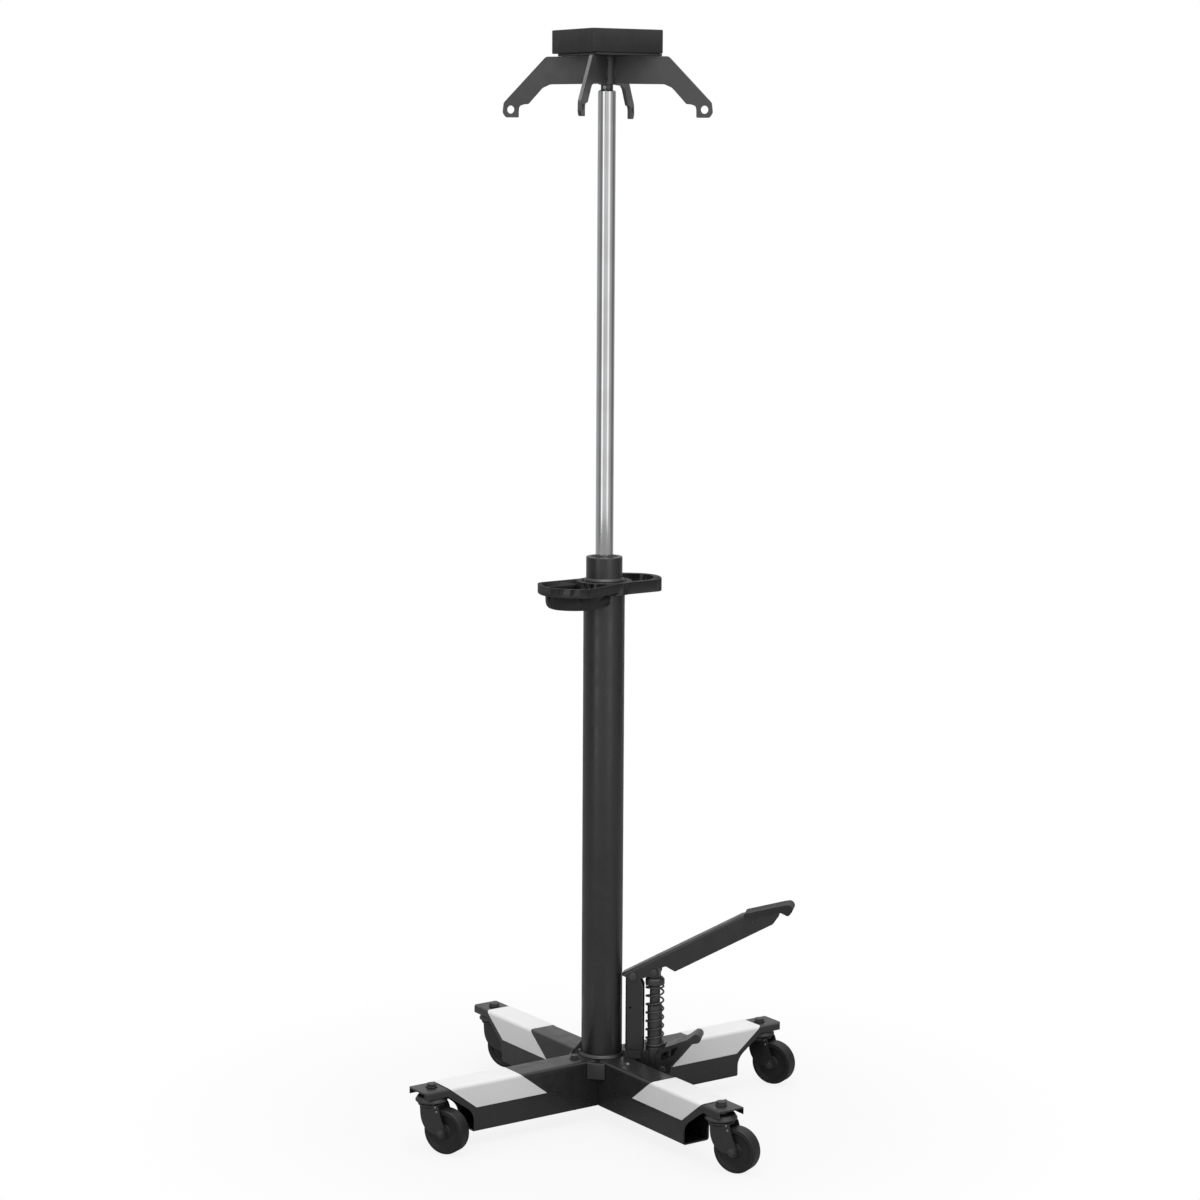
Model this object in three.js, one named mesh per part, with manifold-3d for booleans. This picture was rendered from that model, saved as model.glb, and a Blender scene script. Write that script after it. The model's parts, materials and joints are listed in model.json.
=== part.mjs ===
// Vertical hydraulic telescopic jack: crossed-tube base on four casters, foot-pumped column and a four-arm saddle.
// Millimetres, +Z up, with the foot pump on the +X side. Heights below are from a datum just above the floor. The
// whole group is then lowered so that its origin is on the column's axis at the underside of the crossed leg tubes.
import * as THREE from 'three';
import { mergeVertices } from 'three/addons/utils/BufferGeometryUtils.js';
import Module from 'manifold-3d';

const wasm = await Module();
wasm.setup();

// ---------- driving dimensions ----------
const GAP = 0.3;                      // space between neighbouring pieces
const OVERLAP = 1;                    // how far shapes run into each other before they are joined
const FLOOR = -2;                     // the level that the wheels stand on
const TOTAL_HEIGHT = 1951.6;          // top of the saddle pad, ram fully out

const LEG_WIDTH = 56.6;               // rectangular leg tube, outside
const LEG_HEIGHT = 88.4;
const LEG_WALL = 3;
const LEG_CORNER = 5.5;
const LEG_TOP = 112.3;
const LEG_REACH = 395.5;               // column axis to the end of a leg
const LEG_LIP = 13.5;                 // height of the open channel that carries the caster
const LEG_END_ROUND = 8;
const ARCH = { foot: 292, shoulder: 43, knee: { x: 307, z: 70 }, top: 347 };
const BASE_BOLT = { reach: 60, radius: 5, head: 19, headHeight: 8, tip: 8 };
const FOOT_TOP = 118;                 // top of the ring and the plug at the column's foot
const GUSSET = { depth: 17, drop: 3, height: 30 };
const RIB = { foot: 43.6, outer: 56, step: 118.6, top: 134, thickness: 6 };

const MARKING_TOP = [196.6, 346];     // inner and outer end of a marking sleeve's top
const MARKING_DROP = 43.3;
const MARKING_SLANT = 57.5;
const MARKING_THICKNESS = 0.8;

const CASTER_REACH = 364;
const CASTER_TRAIL = 32;
const CASTER_TURN = THREE.MathUtils.degToRad(-20.5);
const WHEEL_RADIUS = 40;
const AXLE_HEIGHT = FLOOR + WHEEL_RADIUS;
const WHEEL_WIDTH = 26;
const WHEEL_CORNER = 2.5;
const WHEEL_RIM = 35.5;
const WHEEL_DISH = { radius: 28, depth: 3 };
const WHEEL_HUB = { radius: 11, foot: 12, depth: 4, rise: 1 };
const AXLE = { radius: 4, head: 15, headHeight: 5 };
const STEM = { radius: 6, bottom: 76, head: 22, headHeight: 9, spacer: 11 };
const RACE = { bottom: 87, radius: 28.5, edge: 26 };
const FORK = { plate: 3, clear: 2, headBottom: 78, headRadius: 24, headNeck: 20, chamfer: 5, eye: 10 };

const COLUMN_RADIUS = 37.1;
const COLUMN_BORE = 33;
const COLUMN_TOP = 985;
const PRESSURE_TUBE = [21.1, 25];     // bore and outside radius
const PISTON_TOP = 945;
const PISTON_HEIGHT = 25;
const RAM_RADIUS = 15.8;
const RAM_TOP = 1848.5;
const GLAND = { radius: 32.5, top: 1028.7, bottom: 952, flange: 36, flangeTop: 989, shoulder: 991 };
const SEAL = { width: 4, depth: 6, height: 4.2 };
const PISTON = { radius: 20.7, grooveRadius: 17, groove: [9, 16] };
const SPIGOT = { bore: 10.2, depth: 50, foot: 46 };

const TRAY_TURN = THREE.MathUtils.degToRad(56);
const TRAY_TOP = 985;
const TRAY_BAND = 16;
const HANDLE_BAND = 21.5;
const TRAY_FLOOR = 944;
const TRAY_WALL = 3;
const TRAY_RIM = { inset: 5, depth: 8 };
const TRAY_BOWL_INSET = 10;
const TRAY_RING = 50;
const TRAY_GROOVE = { radius: 40.5, depth: 4 };
const TRAY_CORNER = { reach: 104, half: 64, round: 10 };
const TRAY_END = 138;
const HANDLE_BAR = 12;
const HANDLE_CORNER = { reach: 84, half: 61, round: 5 };
const HANDLE_END = 123;
const BOW_STEPS = 10;                 // straight pieces in the bowed end of the tray or handle

const SADDLE_TURN = THREE.MathUtils.degToRad(-4.1);
const ARM_TOP = 1906.8;
const ARM_THICKNESS = 6;
const ARM_TIP = 189;
const ARM_HOLE = { reach: 174.6, depth: 91.5, radius: 7 };
const ARM_NOSE = { flat: 110, shoulder: [187, 79.5], chin: [183.4, 105.3] };   // [reach, depth below the top]
const ARM_HEEL = { reach: 160.5, step: 94, bend: [159.5, 85], end: [150, 82.4], flat: [142.7, 82] };
const ARM_BELLY = { start: [116.8, 54], bend: [111, 48.2], end: [103, 48], root: 47 };
const HUB_RADIUS = 15;
const HUB_BOTTOM = 1858;
const NECK_RADIUS = 10.7;
const SET_SCREW = { radius: 3, from: 11, to: 16, z: 1853.3 };
const PAD_SIDE = 142.8;
const SUPPORT_SIDE = 134;
const SUPPORT_SHIFT = [4.4, 1.1];     // the plate's centre, from the column's axis
const SUPPORT_THICKNESS = 4;
const PAD_CORNER = 4;
const SUPPORT_CORNER = 3;

const PUMP_X = 98;
const PUMP_SEAT = 132;                // top of the pump block's boss
const BARREL_RADIUS = 13.5;
const BARREL_TOP = 210;
const BARREL_FOOT = 104;
const PUMP_ROD_RADIUS = 9.5;
const PUMP_ROD_FOOT = 140;
const ROD_TONGUE = 18;
const CAP_BOTTOM = 247.3;
const CAP_HEIGHT = 14;
const CAP = { foot: 16.2, radius: 17.5, top: 14.5, chamfer: 4, round: 1.5 };
const SPRING_RADIUS = 15.7;           // to the middle of the wire
const SPRING_WIRE = 1.7;
const SPRING_TURNS = 7.5;

const PEDAL_PIVOT = { x: 60, z: 264 };
const PEDAL_ROD_PIN = { x: PUMP_X, z: 273 };
const PEDAL_TILT = THREE.MathUtils.degToRad(28.8);
const PEDAL_TIP = { x: 38.6, z: 266.9 };
const PEDAL_WIDTH = 32;
const PEDAL_SHEET = 3;
const PEDAL_BEND = 246;               // along the web, where it bends down to the nose
const PEDAL_NOSE = { x: 316, z: -17 };
const PEDAL_DEPTH = 38.5;
const PIVOT_PIN = { radius: 4.5, head: 7.5 };
const ROD_PIN = { radius: 4, head: 6.5, play: 1.3 };
const PAD = { start: 252, width: 38, clear: 0.5, thickness: 3.6, skirt: 5.4 };
const PAD_LIP = { end: 338.3, chin: [324, -35.9], inner: [316.8, -25.9], root: [314.3, -24.8] };
const BRACKET_X = [45, 77];
const BRACKET_SHOULDER = [262, 246];  // heights where the straight edges end, on the column and pump side
const BRACKET_EAR = 8;
const BRACKET_SADDLE = 248;
const BRACKET_HOLE = { x: 54.5, z: 204, radius: 2.6 };
const BRACKET_WIDTH = 24;
const BRACKET_SHEET = 4;
const BLOCK_TOP = 126;

const BLOCK_FOOT = { x0: 43.6, x1: 76, width: 44 };
const BLOCK_NECK = { x0: 70, width: 28, drop: 20 };
const BOSS = { radius: 16.5, bottom: 84 };
const RELEASE_LUG = { end: 131, width: 18, top: 112 };

const RELEASE_PIVOT = { x: 116, z: 94 };
const RELEASE_PIN = { radius: 4, head: 6.5 };
const RELEASE_EYE = 10;
const RELEASE_WIDTH = 40;
const RELEASE_SHEET = 2.5;
const RELEASE_WEB_START = 119;
const PLUNGER = { x: 124, radius: 4, foot: 102, travel: 1.4, head: 6, headFoot: 127, top: 131.4 };

// ---------- materials ----------
const finish = (color, roughness, metalness) => new THREE.MeshStandardMaterial({ color, roughness, metalness });
const paint = () => finish(0x2f2f31, 0.5, 0.3);
const darkSteel = () => finish(0x3a3a3c, 0.4, 0.7);
const zincSteel = () => finish(0x8a8a8c, 0.35, 0.9);
const chrome = () => finish(0xd0d2d4, 0.08, 1.0);
const whiteFilm = () => finish(0xf1f1f1, 0.6, 0.0);
const plastic = () => finish(0x222224, 0.6, 0.0);
const rubber = () => finish(0x1b1b1c, 0.85, 0.0);

// ---------- geometry helpers ----------
function toSolid(geometry) {
  const bare = geometry.clone();
  bare.deleteAttribute('normal');
  bare.deleteAttribute('uv');
  const merged = mergeVertices(bare, 1e-4);
  const solidMesh = new wasm.Mesh({
    numProp: 3,
    vertProperties: new Float32Array(merged.attributes.position.array),
    triVerts: new Uint32Array(merged.index.array),
  });
  return new wasm.Manifold(solidMesh);
}

function toGeometry(solid) {
  const { vertProperties, triVerts } = solid.getMesh();
  const geometry = new THREE.BufferGeometry();
  geometry.setAttribute('position', new THREE.BufferAttribute(new Float32Array(vertProperties), 3));
  geometry.setIndex(new THREE.BufferAttribute(new Uint32Array(triVerts), 1));
  geometry.computeVertexNormals();
  return geometry;
}

const join = (first, ...rest) => toGeometry(rest.reduce((sum, g) => sum.add(toSolid(g)), toSolid(first)));
const cut = (first, ...rest) => toGeometry(rest.reduce((left, g) => left.subtract(toSolid(g)), toSolid(first)));
const common = (first, second) => toGeometry(toSolid(first).intersect(toSolid(second)));

const shapeOf = (points) => new THREE.Shape(points.map(([x, y]) => new THREE.Vector2(x, y)));

function extrude(shape, depth, curveSegments = 6) {
  return new THREE.ExtrudeGeometry(shape, { depth, bevelEnabled: false, curveSegments });
}

// A flat plate lying between heights z0 and z1.
const layer = (shape, z0, z1, segments) => extrude(shape, z1 - z0, segments).translate(0, 0, z0);

// An upright plate: the shape's axes become X and Z, and it is thick from y0 to y1.
const wall = (shape, y0, y1, segments) => extrude(shape, y1 - y0, segments).rotateX(Math.PI / 2).translate(0, y1, 0);

// A bar along X: the shape's axes become Y and Z.
function bar(shape, x0, x1, segments) {
  const toX = new THREE.Matrix4().makeBasis(
    new THREE.Vector3(0, 1, 0), new THREE.Vector3(0, 0, 1), new THREE.Vector3(1, 0, 0));
  return extrude(shape, x1 - x0, segments).applyMatrix4(toX).translate(x0, 0, 0);
}

function block(x0, x1, y0, y1, z0, z1) {
  return new THREE.BoxGeometry(x1 - x0, y1 - y0, z1 - z0).translate((x0 + x1) / 2, (y0 + y1) / 2, (z0 + z1) / 2);
}

// A body of revolution about Z from [radius, height] points that start and end on the axis or close on themselves.
function turned(points, segments = 32) {
  return new THREE.LatheGeometry(points.map(([r, z]) => new THREE.Vector2(r, z)), segments).rotateX(Math.PI / 2);
}

const ring = (inner, outer, z0, z1, segments) => turned(
  [[inner, z0], [outer, z0], [outer, z1], [inner, z1], [inner, z0]], segments);
const disc = (radius, z0, z1, segments) => turned([[0, z0], [radius, z0], [radius, z1], [0, z1]], segments);
const hexPrism = (acrossCorners, z0, z1) => disc(acrossCorners / 2, z0, z1, 6);

// A round bar along Y through (x, z).
function crossPin(radius, x, z, y0, y1, segments = 16) {
  return disc(radius, y0, y1, segments).rotateX(-Math.PI / 2).translate(x, 0, z);
}

function roundedRect(width, height, radius) {
  const [x, y] = [width / 2, height / 2];
  const shape = new THREE.Shape();
  shape.absarc(x - radius, y - radius, radius, 0, Math.PI / 2);
  shape.absarc(-x + radius, y - radius, radius, Math.PI / 2, Math.PI);
  shape.absarc(-x + radius, -y + radius, radius, Math.PI, Math.PI * 1.5);
  shape.absarc(x - radius, -y + radius, radius, Math.PI * 1.5, Math.PI * 2);
  shape.closePath();
  return shape;
}

const jack = new THREE.Group();

function add(name, geometry, material, parent = jack) {
  const mesh = new THREE.Mesh(geometry, material);
  mesh.name = name;
  parent.add(mesh);
  return mesh;
}

function turnedGroup(angle, x = 0, y = 0) {
  const group = new THREE.Group();
  group.position.set(x, y, 0);
  group.rotation.z = angle;
  jack.add(group);
  return group;
}

// ---------- base frame ----------
const LEGS = {
  front_left: { angle: -0.75 * Math.PI },
  front_right: { angle: -0.25 * Math.PI },
  rear_right: { angle: 0.25 * Math.PI },
  rear_left: { angle: 0.75 * Math.PI },
};
const legBottom = LEG_TOP - LEG_HEIGHT;
const legMiddle = LEG_TOP - LEG_HEIGHT / 2;
const lipBottom = LEG_TOP - LEG_LIP;

// What is cut away under the caster: an upright edge that bends into a slope, up to the flat underside of the lip.
function wheelArch() {
  const slope = (lipBottom - ARCH.knee.z) / (ARCH.top - ARCH.knee.x);
  const shape = new THREE.Shape();
  shape.moveTo(ARCH.foot, legBottom - OVERLAP);
  shape.lineTo(ARCH.foot, ARCH.shoulder);
  shape.quadraticCurveTo(ARCH.foot, ARCH.knee.z - slope * (ARCH.knee.x - ARCH.foot), ARCH.knee.x, ARCH.knee.z);
  shape.lineTo(ARCH.top, lipBottom);
  shape.lineTo(LEG_REACH + OVERLAP, lipBottom);
  shape.lineTo(LEG_REACH + OVERLAP, legBottom - OVERLAP);
  shape.closePath();
  return wall(shape, -LEG_WIDTH, LEG_WIDTH, 5);
}

// Seen from above, a leg's outline from x0 out to its rounded end.
function legPlan(x0) {
  const [half, r] = [LEG_WIDTH / 2, LEG_END_ROUND];
  const shape = new THREE.Shape();
  shape.moveTo(x0, -half);
  shape.lineTo(LEG_REACH - r, -half);
  shape.absarc(LEG_REACH - r, -half + r, r, -Math.PI / 2, 0);
  shape.absarc(LEG_REACH - r, half - r, r, 0, Math.PI / 2);
  shape.lineTo(x0, half);
  shape.closePath();
  return shape;
}

// One leg along +X from x0: a tube that is open at both ends and under the caster.
function legGeometry(x0) {
  const outside = roundedRect(LEG_WIDTH, LEG_HEIGHT, LEG_CORNER);
  const inside = roundedRect(LEG_WIDTH - 2 * LEG_WALL, LEG_HEIGHT - 2 * LEG_WALL, LEG_CORNER - LEG_WALL);
  const tube = bar(outside, x0, LEG_REACH, 2).translate(0, 0, legMiddle);
  const hollow = bar(inside, x0 - OVERLAP, LEG_REACH + OVERLAP, 1).translate(0, 0, legMiddle);
  const stemHole = disc(STEM.radius + GAP, lipBottom, LEG_TOP + OVERLAP, 16).translate(CASTER_REACH, 0, 0);
  const shaped = common(tube, layer(legPlan(x0), 0, TOTAL_HEIGHT, 3));
  return cut(shaped, hollow, wheelArch(), stemHole);
}

const baseBoltHole = (reach) => disc(BASE_BOLT.radius + GAP, 0, LEG_TOP + OVERLAP, 12).translate(reach, 0, 0);

function longBeam() {
  const half = legGeometry(-OVERLAP);
  const otherHalf = half.clone().rotateZ(Math.PI);
  return cut(join(half, otherHalf), baseBoltHole(BASE_BOLT.reach), baseBoltHole(-BASE_BOLT.reach));
}

add('long_leg_beam', longBeam(), paint(), turnedGroup(LEGS.rear_right.angle));
for (const name of ['front_right', 'rear_left']) {
  add(`short_leg_${name}`, legGeometry(LEG_WIDTH / 2 + GAP), paint(), turnedGroup(LEGS[name].angle));
}

// A thin sleeve over a leg's top and sides, with slanting side ends.
function markingSleeve() {
  const [inner, outer] = MARKING_TOP;
  const lift = GAP + MARKING_THICKNESS;
  const grown = (by) => roundedRect(LEG_WIDTH + 2 * by, LEG_HEIGHT + 2 * by, LEG_CORNER + by);
  const from = inner - MARKING_SLANT;
  const above = LEG_TOP + LEG_CORNER;
  const skin = cut(
    bar(grown(lift), from, outer, 2).translate(0, 0, legMiddle),
    bar(grown(GAP), from - OVERLAP, outer + OVERLAP, 2).translate(0, 0, legMiddle));
  const side = shapeOf([
    [inner, above], [inner, LEG_TOP], [inner - MARKING_SLANT, LEG_TOP - MARKING_DROP],
    [outer - MARKING_SLANT, LEG_TOP - MARKING_DROP], [outer, LEG_TOP], [outer, above],
  ]);
  return common(skin, wall(side, -LEG_WIDTH, LEG_WIDTH));
}

for (const [name, { angle }] of Object.entries(LEGS)) {
  add(`marking_sleeve_${name}`, markingSleeve(), whiteFilm(), turnedGroup(angle));
}

// Corner blocks that close the crossing, and the rib that stands on the left one. Each is drawn pointing along +X.
const crossCorner = LEG_WIDTH / Math.SQRT2;
function cornerGusset() {
  const [tip, back] = [crossCorner + 1, crossCorner + 1 + GUSSET.depth];
  const top = LEG_TOP - GUSSET.drop;
  return layer(shapeOf([[tip, 0], [back, -GUSSET.depth], [back, GUSSET.depth]]), top - GUSSET.height, top);
}

function ribbedGusset() {
  const inner = COLUMN_RADIUS + 0.5;
  const bottom = LEG_TOP - GUSSET.drop - OVERLAP;
  const rib = shapeOf([
    [RIB.foot, bottom], [RIB.foot, RIB.step], [inner, RIB.step], [inner, RIB.top], [RIB.outer, LEG_TOP - 1],
    [RIB.outer, bottom],
  ]);
  return join(cornerGusset(), wall(rib, -RIB.thickness / 2, RIB.thickness / 2));
}

add('gusset_front', cornerGusset(), paint(), turnedGroup(-Math.PI / 2));
add('gusset_rear', cornerGusset(), paint(), turnedGroup(Math.PI / 2));
add('gusset_left', ribbedGusset(), paint(), turnedGroup(Math.PI));

// A hex head on the leg, and a shank whose tip just shows under it.
function baseBolt() {
  return join(
    hexPrism(BASE_BOLT.head, LEG_TOP + GAP, LEG_TOP + BASE_BOLT.headHeight),
    disc(BASE_BOLT.radius, legBottom - BASE_BOLT.tip, LEG_TOP + OVERLAP, 12));
}

for (const name of ['front_left', 'rear_right']) {
  const bolt = baseBolt().translate(BASE_BOLT.reach, 0, 0);
  add(`base_bolt_${name}`, bolt, darkSteel(), turnedGroup(LEGS[name].angle));
}

// ---------- casters ----------
const raceTop = lipBottom - GAP;
const forkTop = RACE.bottom - GAP;
const forkInside = WHEEL_WIDTH / 2 + FORK.clear;

// The stem: a hex head on the leg, a shank, and the upper ball race with its spacer inside the channel.
function casterStem() {
  const spacerTop = LEG_TOP - LEG_WALL - GAP;
  return join(
    hexPrism(STEM.head, LEG_TOP + GAP, LEG_TOP + STEM.headHeight),
    turned([
      [0, STEM.bottom], [STEM.radius, STEM.bottom], [STEM.radius, RACE.bottom], [RACE.edge, RACE.bottom],
      [RACE.radius, RACE.bottom + 2.5], [RACE.edge, raceTop], [STEM.spacer, raceTop], [STEM.spacer, spacerTop],
      [STEM.radius, spacerTop], [STEM.radius, LEG_TOP + OVERLAP], [0, LEG_TOP + OVERLAP],
    ], 16));
}

// The fork, drawn with its swivel axis at the origin and the wheel trailing along +X.
function casterFork() {
  const bore = STEM.radius + GAP;
  const head = turned([
    [bore, FORK.headBottom], [FORK.headNeck, FORK.headBottom], [FORK.headRadius, FORK.headBottom + FORK.chamfer],
    [FORK.headRadius, forkTop], [bore, forkTop], [bore, FORK.headBottom],
  ], 16);
  const cheekTop = FORK.headBottom + OVERLAP;
  const cheek = new THREE.Shape();
  cheek.moveTo(-13, cheekTop);
  cheek.lineTo(-12.4, 74);
  cheek.quadraticCurveTo(-12, 34, CASTER_TRAIL - FORK.eye, AXLE_HEIGHT - 5);
  cheek.absarc(CASTER_TRAIL, AXLE_HEIGHT, FORK.eye, Math.PI * 1.15, Math.PI * 2.2);
  cheek.quadraticCurveTo(31, 62, 25, cheekTop);
  cheek.closePath();
  const cheeks = [-forkInside - FORK.plate, forkInside].map((y) => wall(cheek, y, y + FORK.plate, 4));
  return cut(join(head, ...cheeks), crossPin(AXLE.radius + GAP, CASTER_TRAIL, AXLE_HEIGHT, -40, 40, 12));
}

// The wheel about its own axle along Z, with a flat tread, a dished face and a hub.
function wheelAboutZ() {
  const half = WHEEL_WIDTH / 2;
  const bore = AXLE.radius + GAP;
  const face = [
    [bore, half + WHEEL_HUB.rise], [WHEEL_HUB.radius, half + WHEEL_HUB.rise],
    [WHEEL_HUB.foot, half - WHEEL_HUB.depth], [WHEEL_DISH.radius, half - WHEEL_DISH.depth], [WHEEL_RIM, half],
    [WHEEL_RADIUS - WHEEL_CORNER / 2, half], [WHEEL_RADIUS, half - WHEEL_CORNER],
  ];
  const otherFace = face.map(([r, z]) => [r, -z]);
  return turned([...otherFace, ...face.reverse(), otherFace[0]], 24);
}

function casterAxle() {
  const out = forkInside + FORK.plate + GAP;
  return join(
    disc(AXLE.radius, -out - OVERLAP, out + OVERLAP, 12),
    hexPrism(AXLE.head, out, out + AXLE.headHeight), hexPrism(AXLE.head, -out - AXLE.headHeight, -out));
}

const layDown = (geometry) => geometry.rotateX(Math.PI / 2).translate(CASTER_TRAIL, 0, AXLE_HEIGHT);

for (const [name, { angle }] of Object.entries(LEGS)) {
  const [x, y] = [CASTER_REACH * Math.cos(angle), CASTER_REACH * Math.sin(angle)];
  add(`caster_stem_${name}`, casterStem(), darkSteel(), turnedGroup(angle, x, y));
  const caster = turnedGroup(CASTER_TURN, x, y);
  add(`caster_fork_${name}`, casterFork(), paint(), caster);
  add(`caster_wheel_${name}`, layDown(wheelAboutZ()), rubber(), caster);
  add(`caster_axle_${name}`, layDown(casterAxle()), darkSteel(), caster);
}

// ---------- column and ram ----------
add('column_tube', ring(COLUMN_BORE, COLUMN_RADIUS, LEG_TOP + GAP, COLUMN_TOP, 40), paint());
add('column_foot_ring', ring(COLUMN_RADIUS + GAP, 43, LEG_TOP + GAP, FOOT_TOP, 40), paint());
add('column_base_plug', disc(COLUMN_BORE - GAP, LEG_TOP + GAP, FOOT_TOP, 32), darkSteel());
add('pressure_tube', ring(...PRESSURE_TUBE, FOOT_TOP + GAP, PISTON_TOP + 4, 24), darkSteel());

const glandBore = RAM_RADIUS + GAP;
const sealPocket = glandBore + SEAL.width;
const sealBottom = GLAND.top - SEAL.depth;
const columnCap = COLUMN_TOP + GAP;
add('gland_nut', turned([
  [glandBore, GLAND.bottom], [COLUMN_BORE - GAP, GLAND.bottom], [COLUMN_BORE - GAP, columnCap],
  [GLAND.flange, columnCap], [GLAND.flange, GLAND.flangeTop], [GLAND.radius, GLAND.shoulder],
  [GLAND.radius, GLAND.top], [sealPocket, GLAND.top], [sealPocket, sealBottom], [glandBore, sealBottom],
  [glandBore, GLAND.bottom],
], 32), paint());
add('ram_wiper_seal',
  ring(glandBore, sealPocket - GAP, sealBottom + GAP, sealBottom + GAP + SEAL.height, 24), rubber());

const ramBottom = PISTON_TOP + GAP;
add('ram', turned([
  [0, ramBottom], [RAM_RADIUS, ramBottom], [RAM_RADIUS, RAM_TOP - 2], [RAM_RADIUS - 2, RAM_TOP],
  [SPIGOT.bore, RAM_TOP], [SPIGOT.bore, RAM_TOP - SPIGOT.depth], [0, RAM_TOP - SPIGOT.depth],
], 32), chrome());
const pistonBottom = PISTON_TOP - PISTON_HEIGHT;
const sealGroove = PISTON.groove.map((rise) => pistonBottom + rise);
add('ram_piston', turned([
  [0, pistonBottom], [PISTON.radius, pistonBottom], [PISTON.radius, sealGroove[0]],
  [PISTON.grooveRadius, sealGroove[0]], [PISTON.grooveRadius, sealGroove[1]], [PISTON.radius, sealGroove[1]],
  [PISTON.radius, PISTON_TOP], [0, PISTON_TOP],
], 24), darkSteel());
add('piston_seal',
  ring(PISTON.grooveRadius + GAP, PISTON.radius + 0.1, sealGroove[0] + GAP, sealGroove[1] - GAP, 24), rubber());

// ---------- tool tray with its carrying handle, one moulding drawn with the handle along +X ----------
// Outline from the column ring to a wide, bowed end with rounded corners; inset shrinks it evenly.
function flaredEnd(corner, end, inset, root) {
  const [reach, half] = [corner.reach - inset, corner.half - inset];
  const [sideX, sideY] = [reach - corner.round, half - corner.round * (half - root) / reach];
  const bow = new THREE.QuadraticBezierCurve(
    new THREE.Vector2(reach, -half), new THREE.Vector2(2 * (end - inset) - reach, 0), new THREE.Vector2(reach, half));
  const points = bow.getPoints(BOW_STEPS).slice(1, -1);
  const [first] = points;
  const shape = new THREE.Shape();
  shape.moveTo(0, -root);
  shape.lineTo(sideX, -sideY);
  shape.quadraticCurveTo(reach, -half, first.x, first.y);
  points.slice(1).forEach(({ x, y }) => shape.lineTo(x, y));
  shape.quadraticCurveTo(reach, half, sideX, sideY);
  shape.lineTo(0, root);
  shape.closePath();
  return shape;
}

const trayRoot = TRAY_RING - 4;
const bandBottom = TRAY_TOP - TRAY_BAND;
const handleBottom = TRAY_TOP - HANDLE_BAND;

function trayHalf() {
  const piece = (inset, root, z0, z1) => (
    layer(flaredEnd(TRAY_CORNER, TRAY_END, inset, root), z0, z1, 8).rotateZ(Math.PI));
  const bowlRoot = 30;
  const hollowRoot = bowlRoot - TRAY_WALL;
  const band = piece(0, trayRoot, bandBottom, TRAY_TOP);
  const bowl = piece(TRAY_BOWL_INSET, bowlRoot, TRAY_FLOOR, bandBottom + OVERLAP);
  return cut(
    join(band, bowl),
    piece(TRAY_BOWL_INSET + TRAY_WALL, hollowRoot, TRAY_FLOOR + TRAY_WALL, TRAY_TOP + OVERLAP),
    piece(TRAY_RIM.inset, trayRoot - TRAY_RIM.inset, TRAY_TOP - TRAY_RIM.depth, TRAY_TOP + OVERLAP));
}

function handleHalf() {
  const piece = (inset, root, extra) => (
    layer(flaredEnd(HANDLE_CORNER, HANDLE_END, inset, root), handleBottom - extra, TRAY_TOP + extra, 8));
  return cut(piece(0, trayRoot, 0), piece(HANDLE_BAR, TRAY_RING - HANDLE_BAR, OVERLAP));
}

// The collar stands clear of the column near its top, where a groove runs round it.
function toolTray() {
  const collar = disc(TRAY_RING, handleBottom, TRAY_TOP, 32);
  const columnHole = disc(COLUMN_RADIUS + GAP, TRAY_FLOOR - OVERLAP, TRAY_TOP + OVERLAP, 40);
  const bowlClear = disc(TRAY_GROOVE.radius, TRAY_FLOOR - OVERLAP, handleBottom, 32);
  const groove = disc(TRAY_GROOVE.radius, TRAY_TOP - TRAY_GROOVE.depth, TRAY_TOP + OVERLAP, 32);
  return cut(join(trayHalf(), handleHalf(), collar), columnHole, bowlClear, groove);
}

add('tool_tray', toolTray(), plastic(), turnedGroup(TRAY_TURN));

// ---------- saddle ----------
const saddle = turnedGroup(SADDLE_TURN);
const supportTop = ARM_TOP + SUPPORT_THICKNESS;
const armTop = ARM_TOP - GAP;
const spigotRadius = SPIGOT.bore - GAP;

add('saddle_hub', turned([
  [0, RAM_TOP - SPIGOT.foot], [spigotRadius, RAM_TOP - SPIGOT.foot], [spigotRadius, RAM_TOP + GAP],
  [NECK_RADIUS, RAM_TOP + GAP], [NECK_RADIUS, HUB_BOTTOM], [HUB_RADIUS, HUB_BOTTOM], [HUB_RADIUS, armTop],
  [0, armTop],
], 24), darkSteel(), saddle);

// One arm along +X: a flat top, a sloping nose, and a drop-down lug with the adapter hole.
function armGeometry() {
  const at = ([reach, depth]) => [reach, armTop - depth];
  const root = HUB_RADIUS + GAP;
  const shape = new THREE.Shape();
  shape.moveTo(...at([root, 0]));
  shape.lineTo(...at([ARM_NOSE.flat, 0]));
  shape.lineTo(...at(ARM_NOSE.shoulder));
  shape.lineTo(...at([ARM_TIP, 96.7]));
  shape.lineTo(...at(ARM_NOSE.chin));
  shape.lineTo(...at([ARM_HEEL.reach, ARM_NOSE.chin[1]]));
  shape.lineTo(...at([ARM_HEEL.reach, ARM_HEEL.step]));
  shape.quadraticCurveTo(...at(ARM_HEEL.bend), ...at(ARM_HEEL.end));
  shape.lineTo(...at(ARM_HEEL.flat));
  shape.lineTo(...at(ARM_BELLY.start));
  shape.quadraticCurveTo(...at(ARM_BELLY.bend), ...at(ARM_BELLY.end));
  shape.lineTo(...at([root, ARM_BELLY.root]));
  shape.closePath();
  const hole = crossPin(ARM_HOLE.radius, ARM_HOLE.reach, armTop - ARM_HOLE.depth, -ARM_THICKNESS, ARM_THICKNESS);
  return cut(wall(shape, -ARM_THICKNESS / 2, ARM_THICKNESS / 2, 6), hole);
}

['right', 'rear', 'left', 'front'].forEach((name, quarter) => {
  add(`saddle_arm_${name}`, armGeometry().rotateZ(quarter * Math.PI / 2), paint(), saddle);
});

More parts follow.
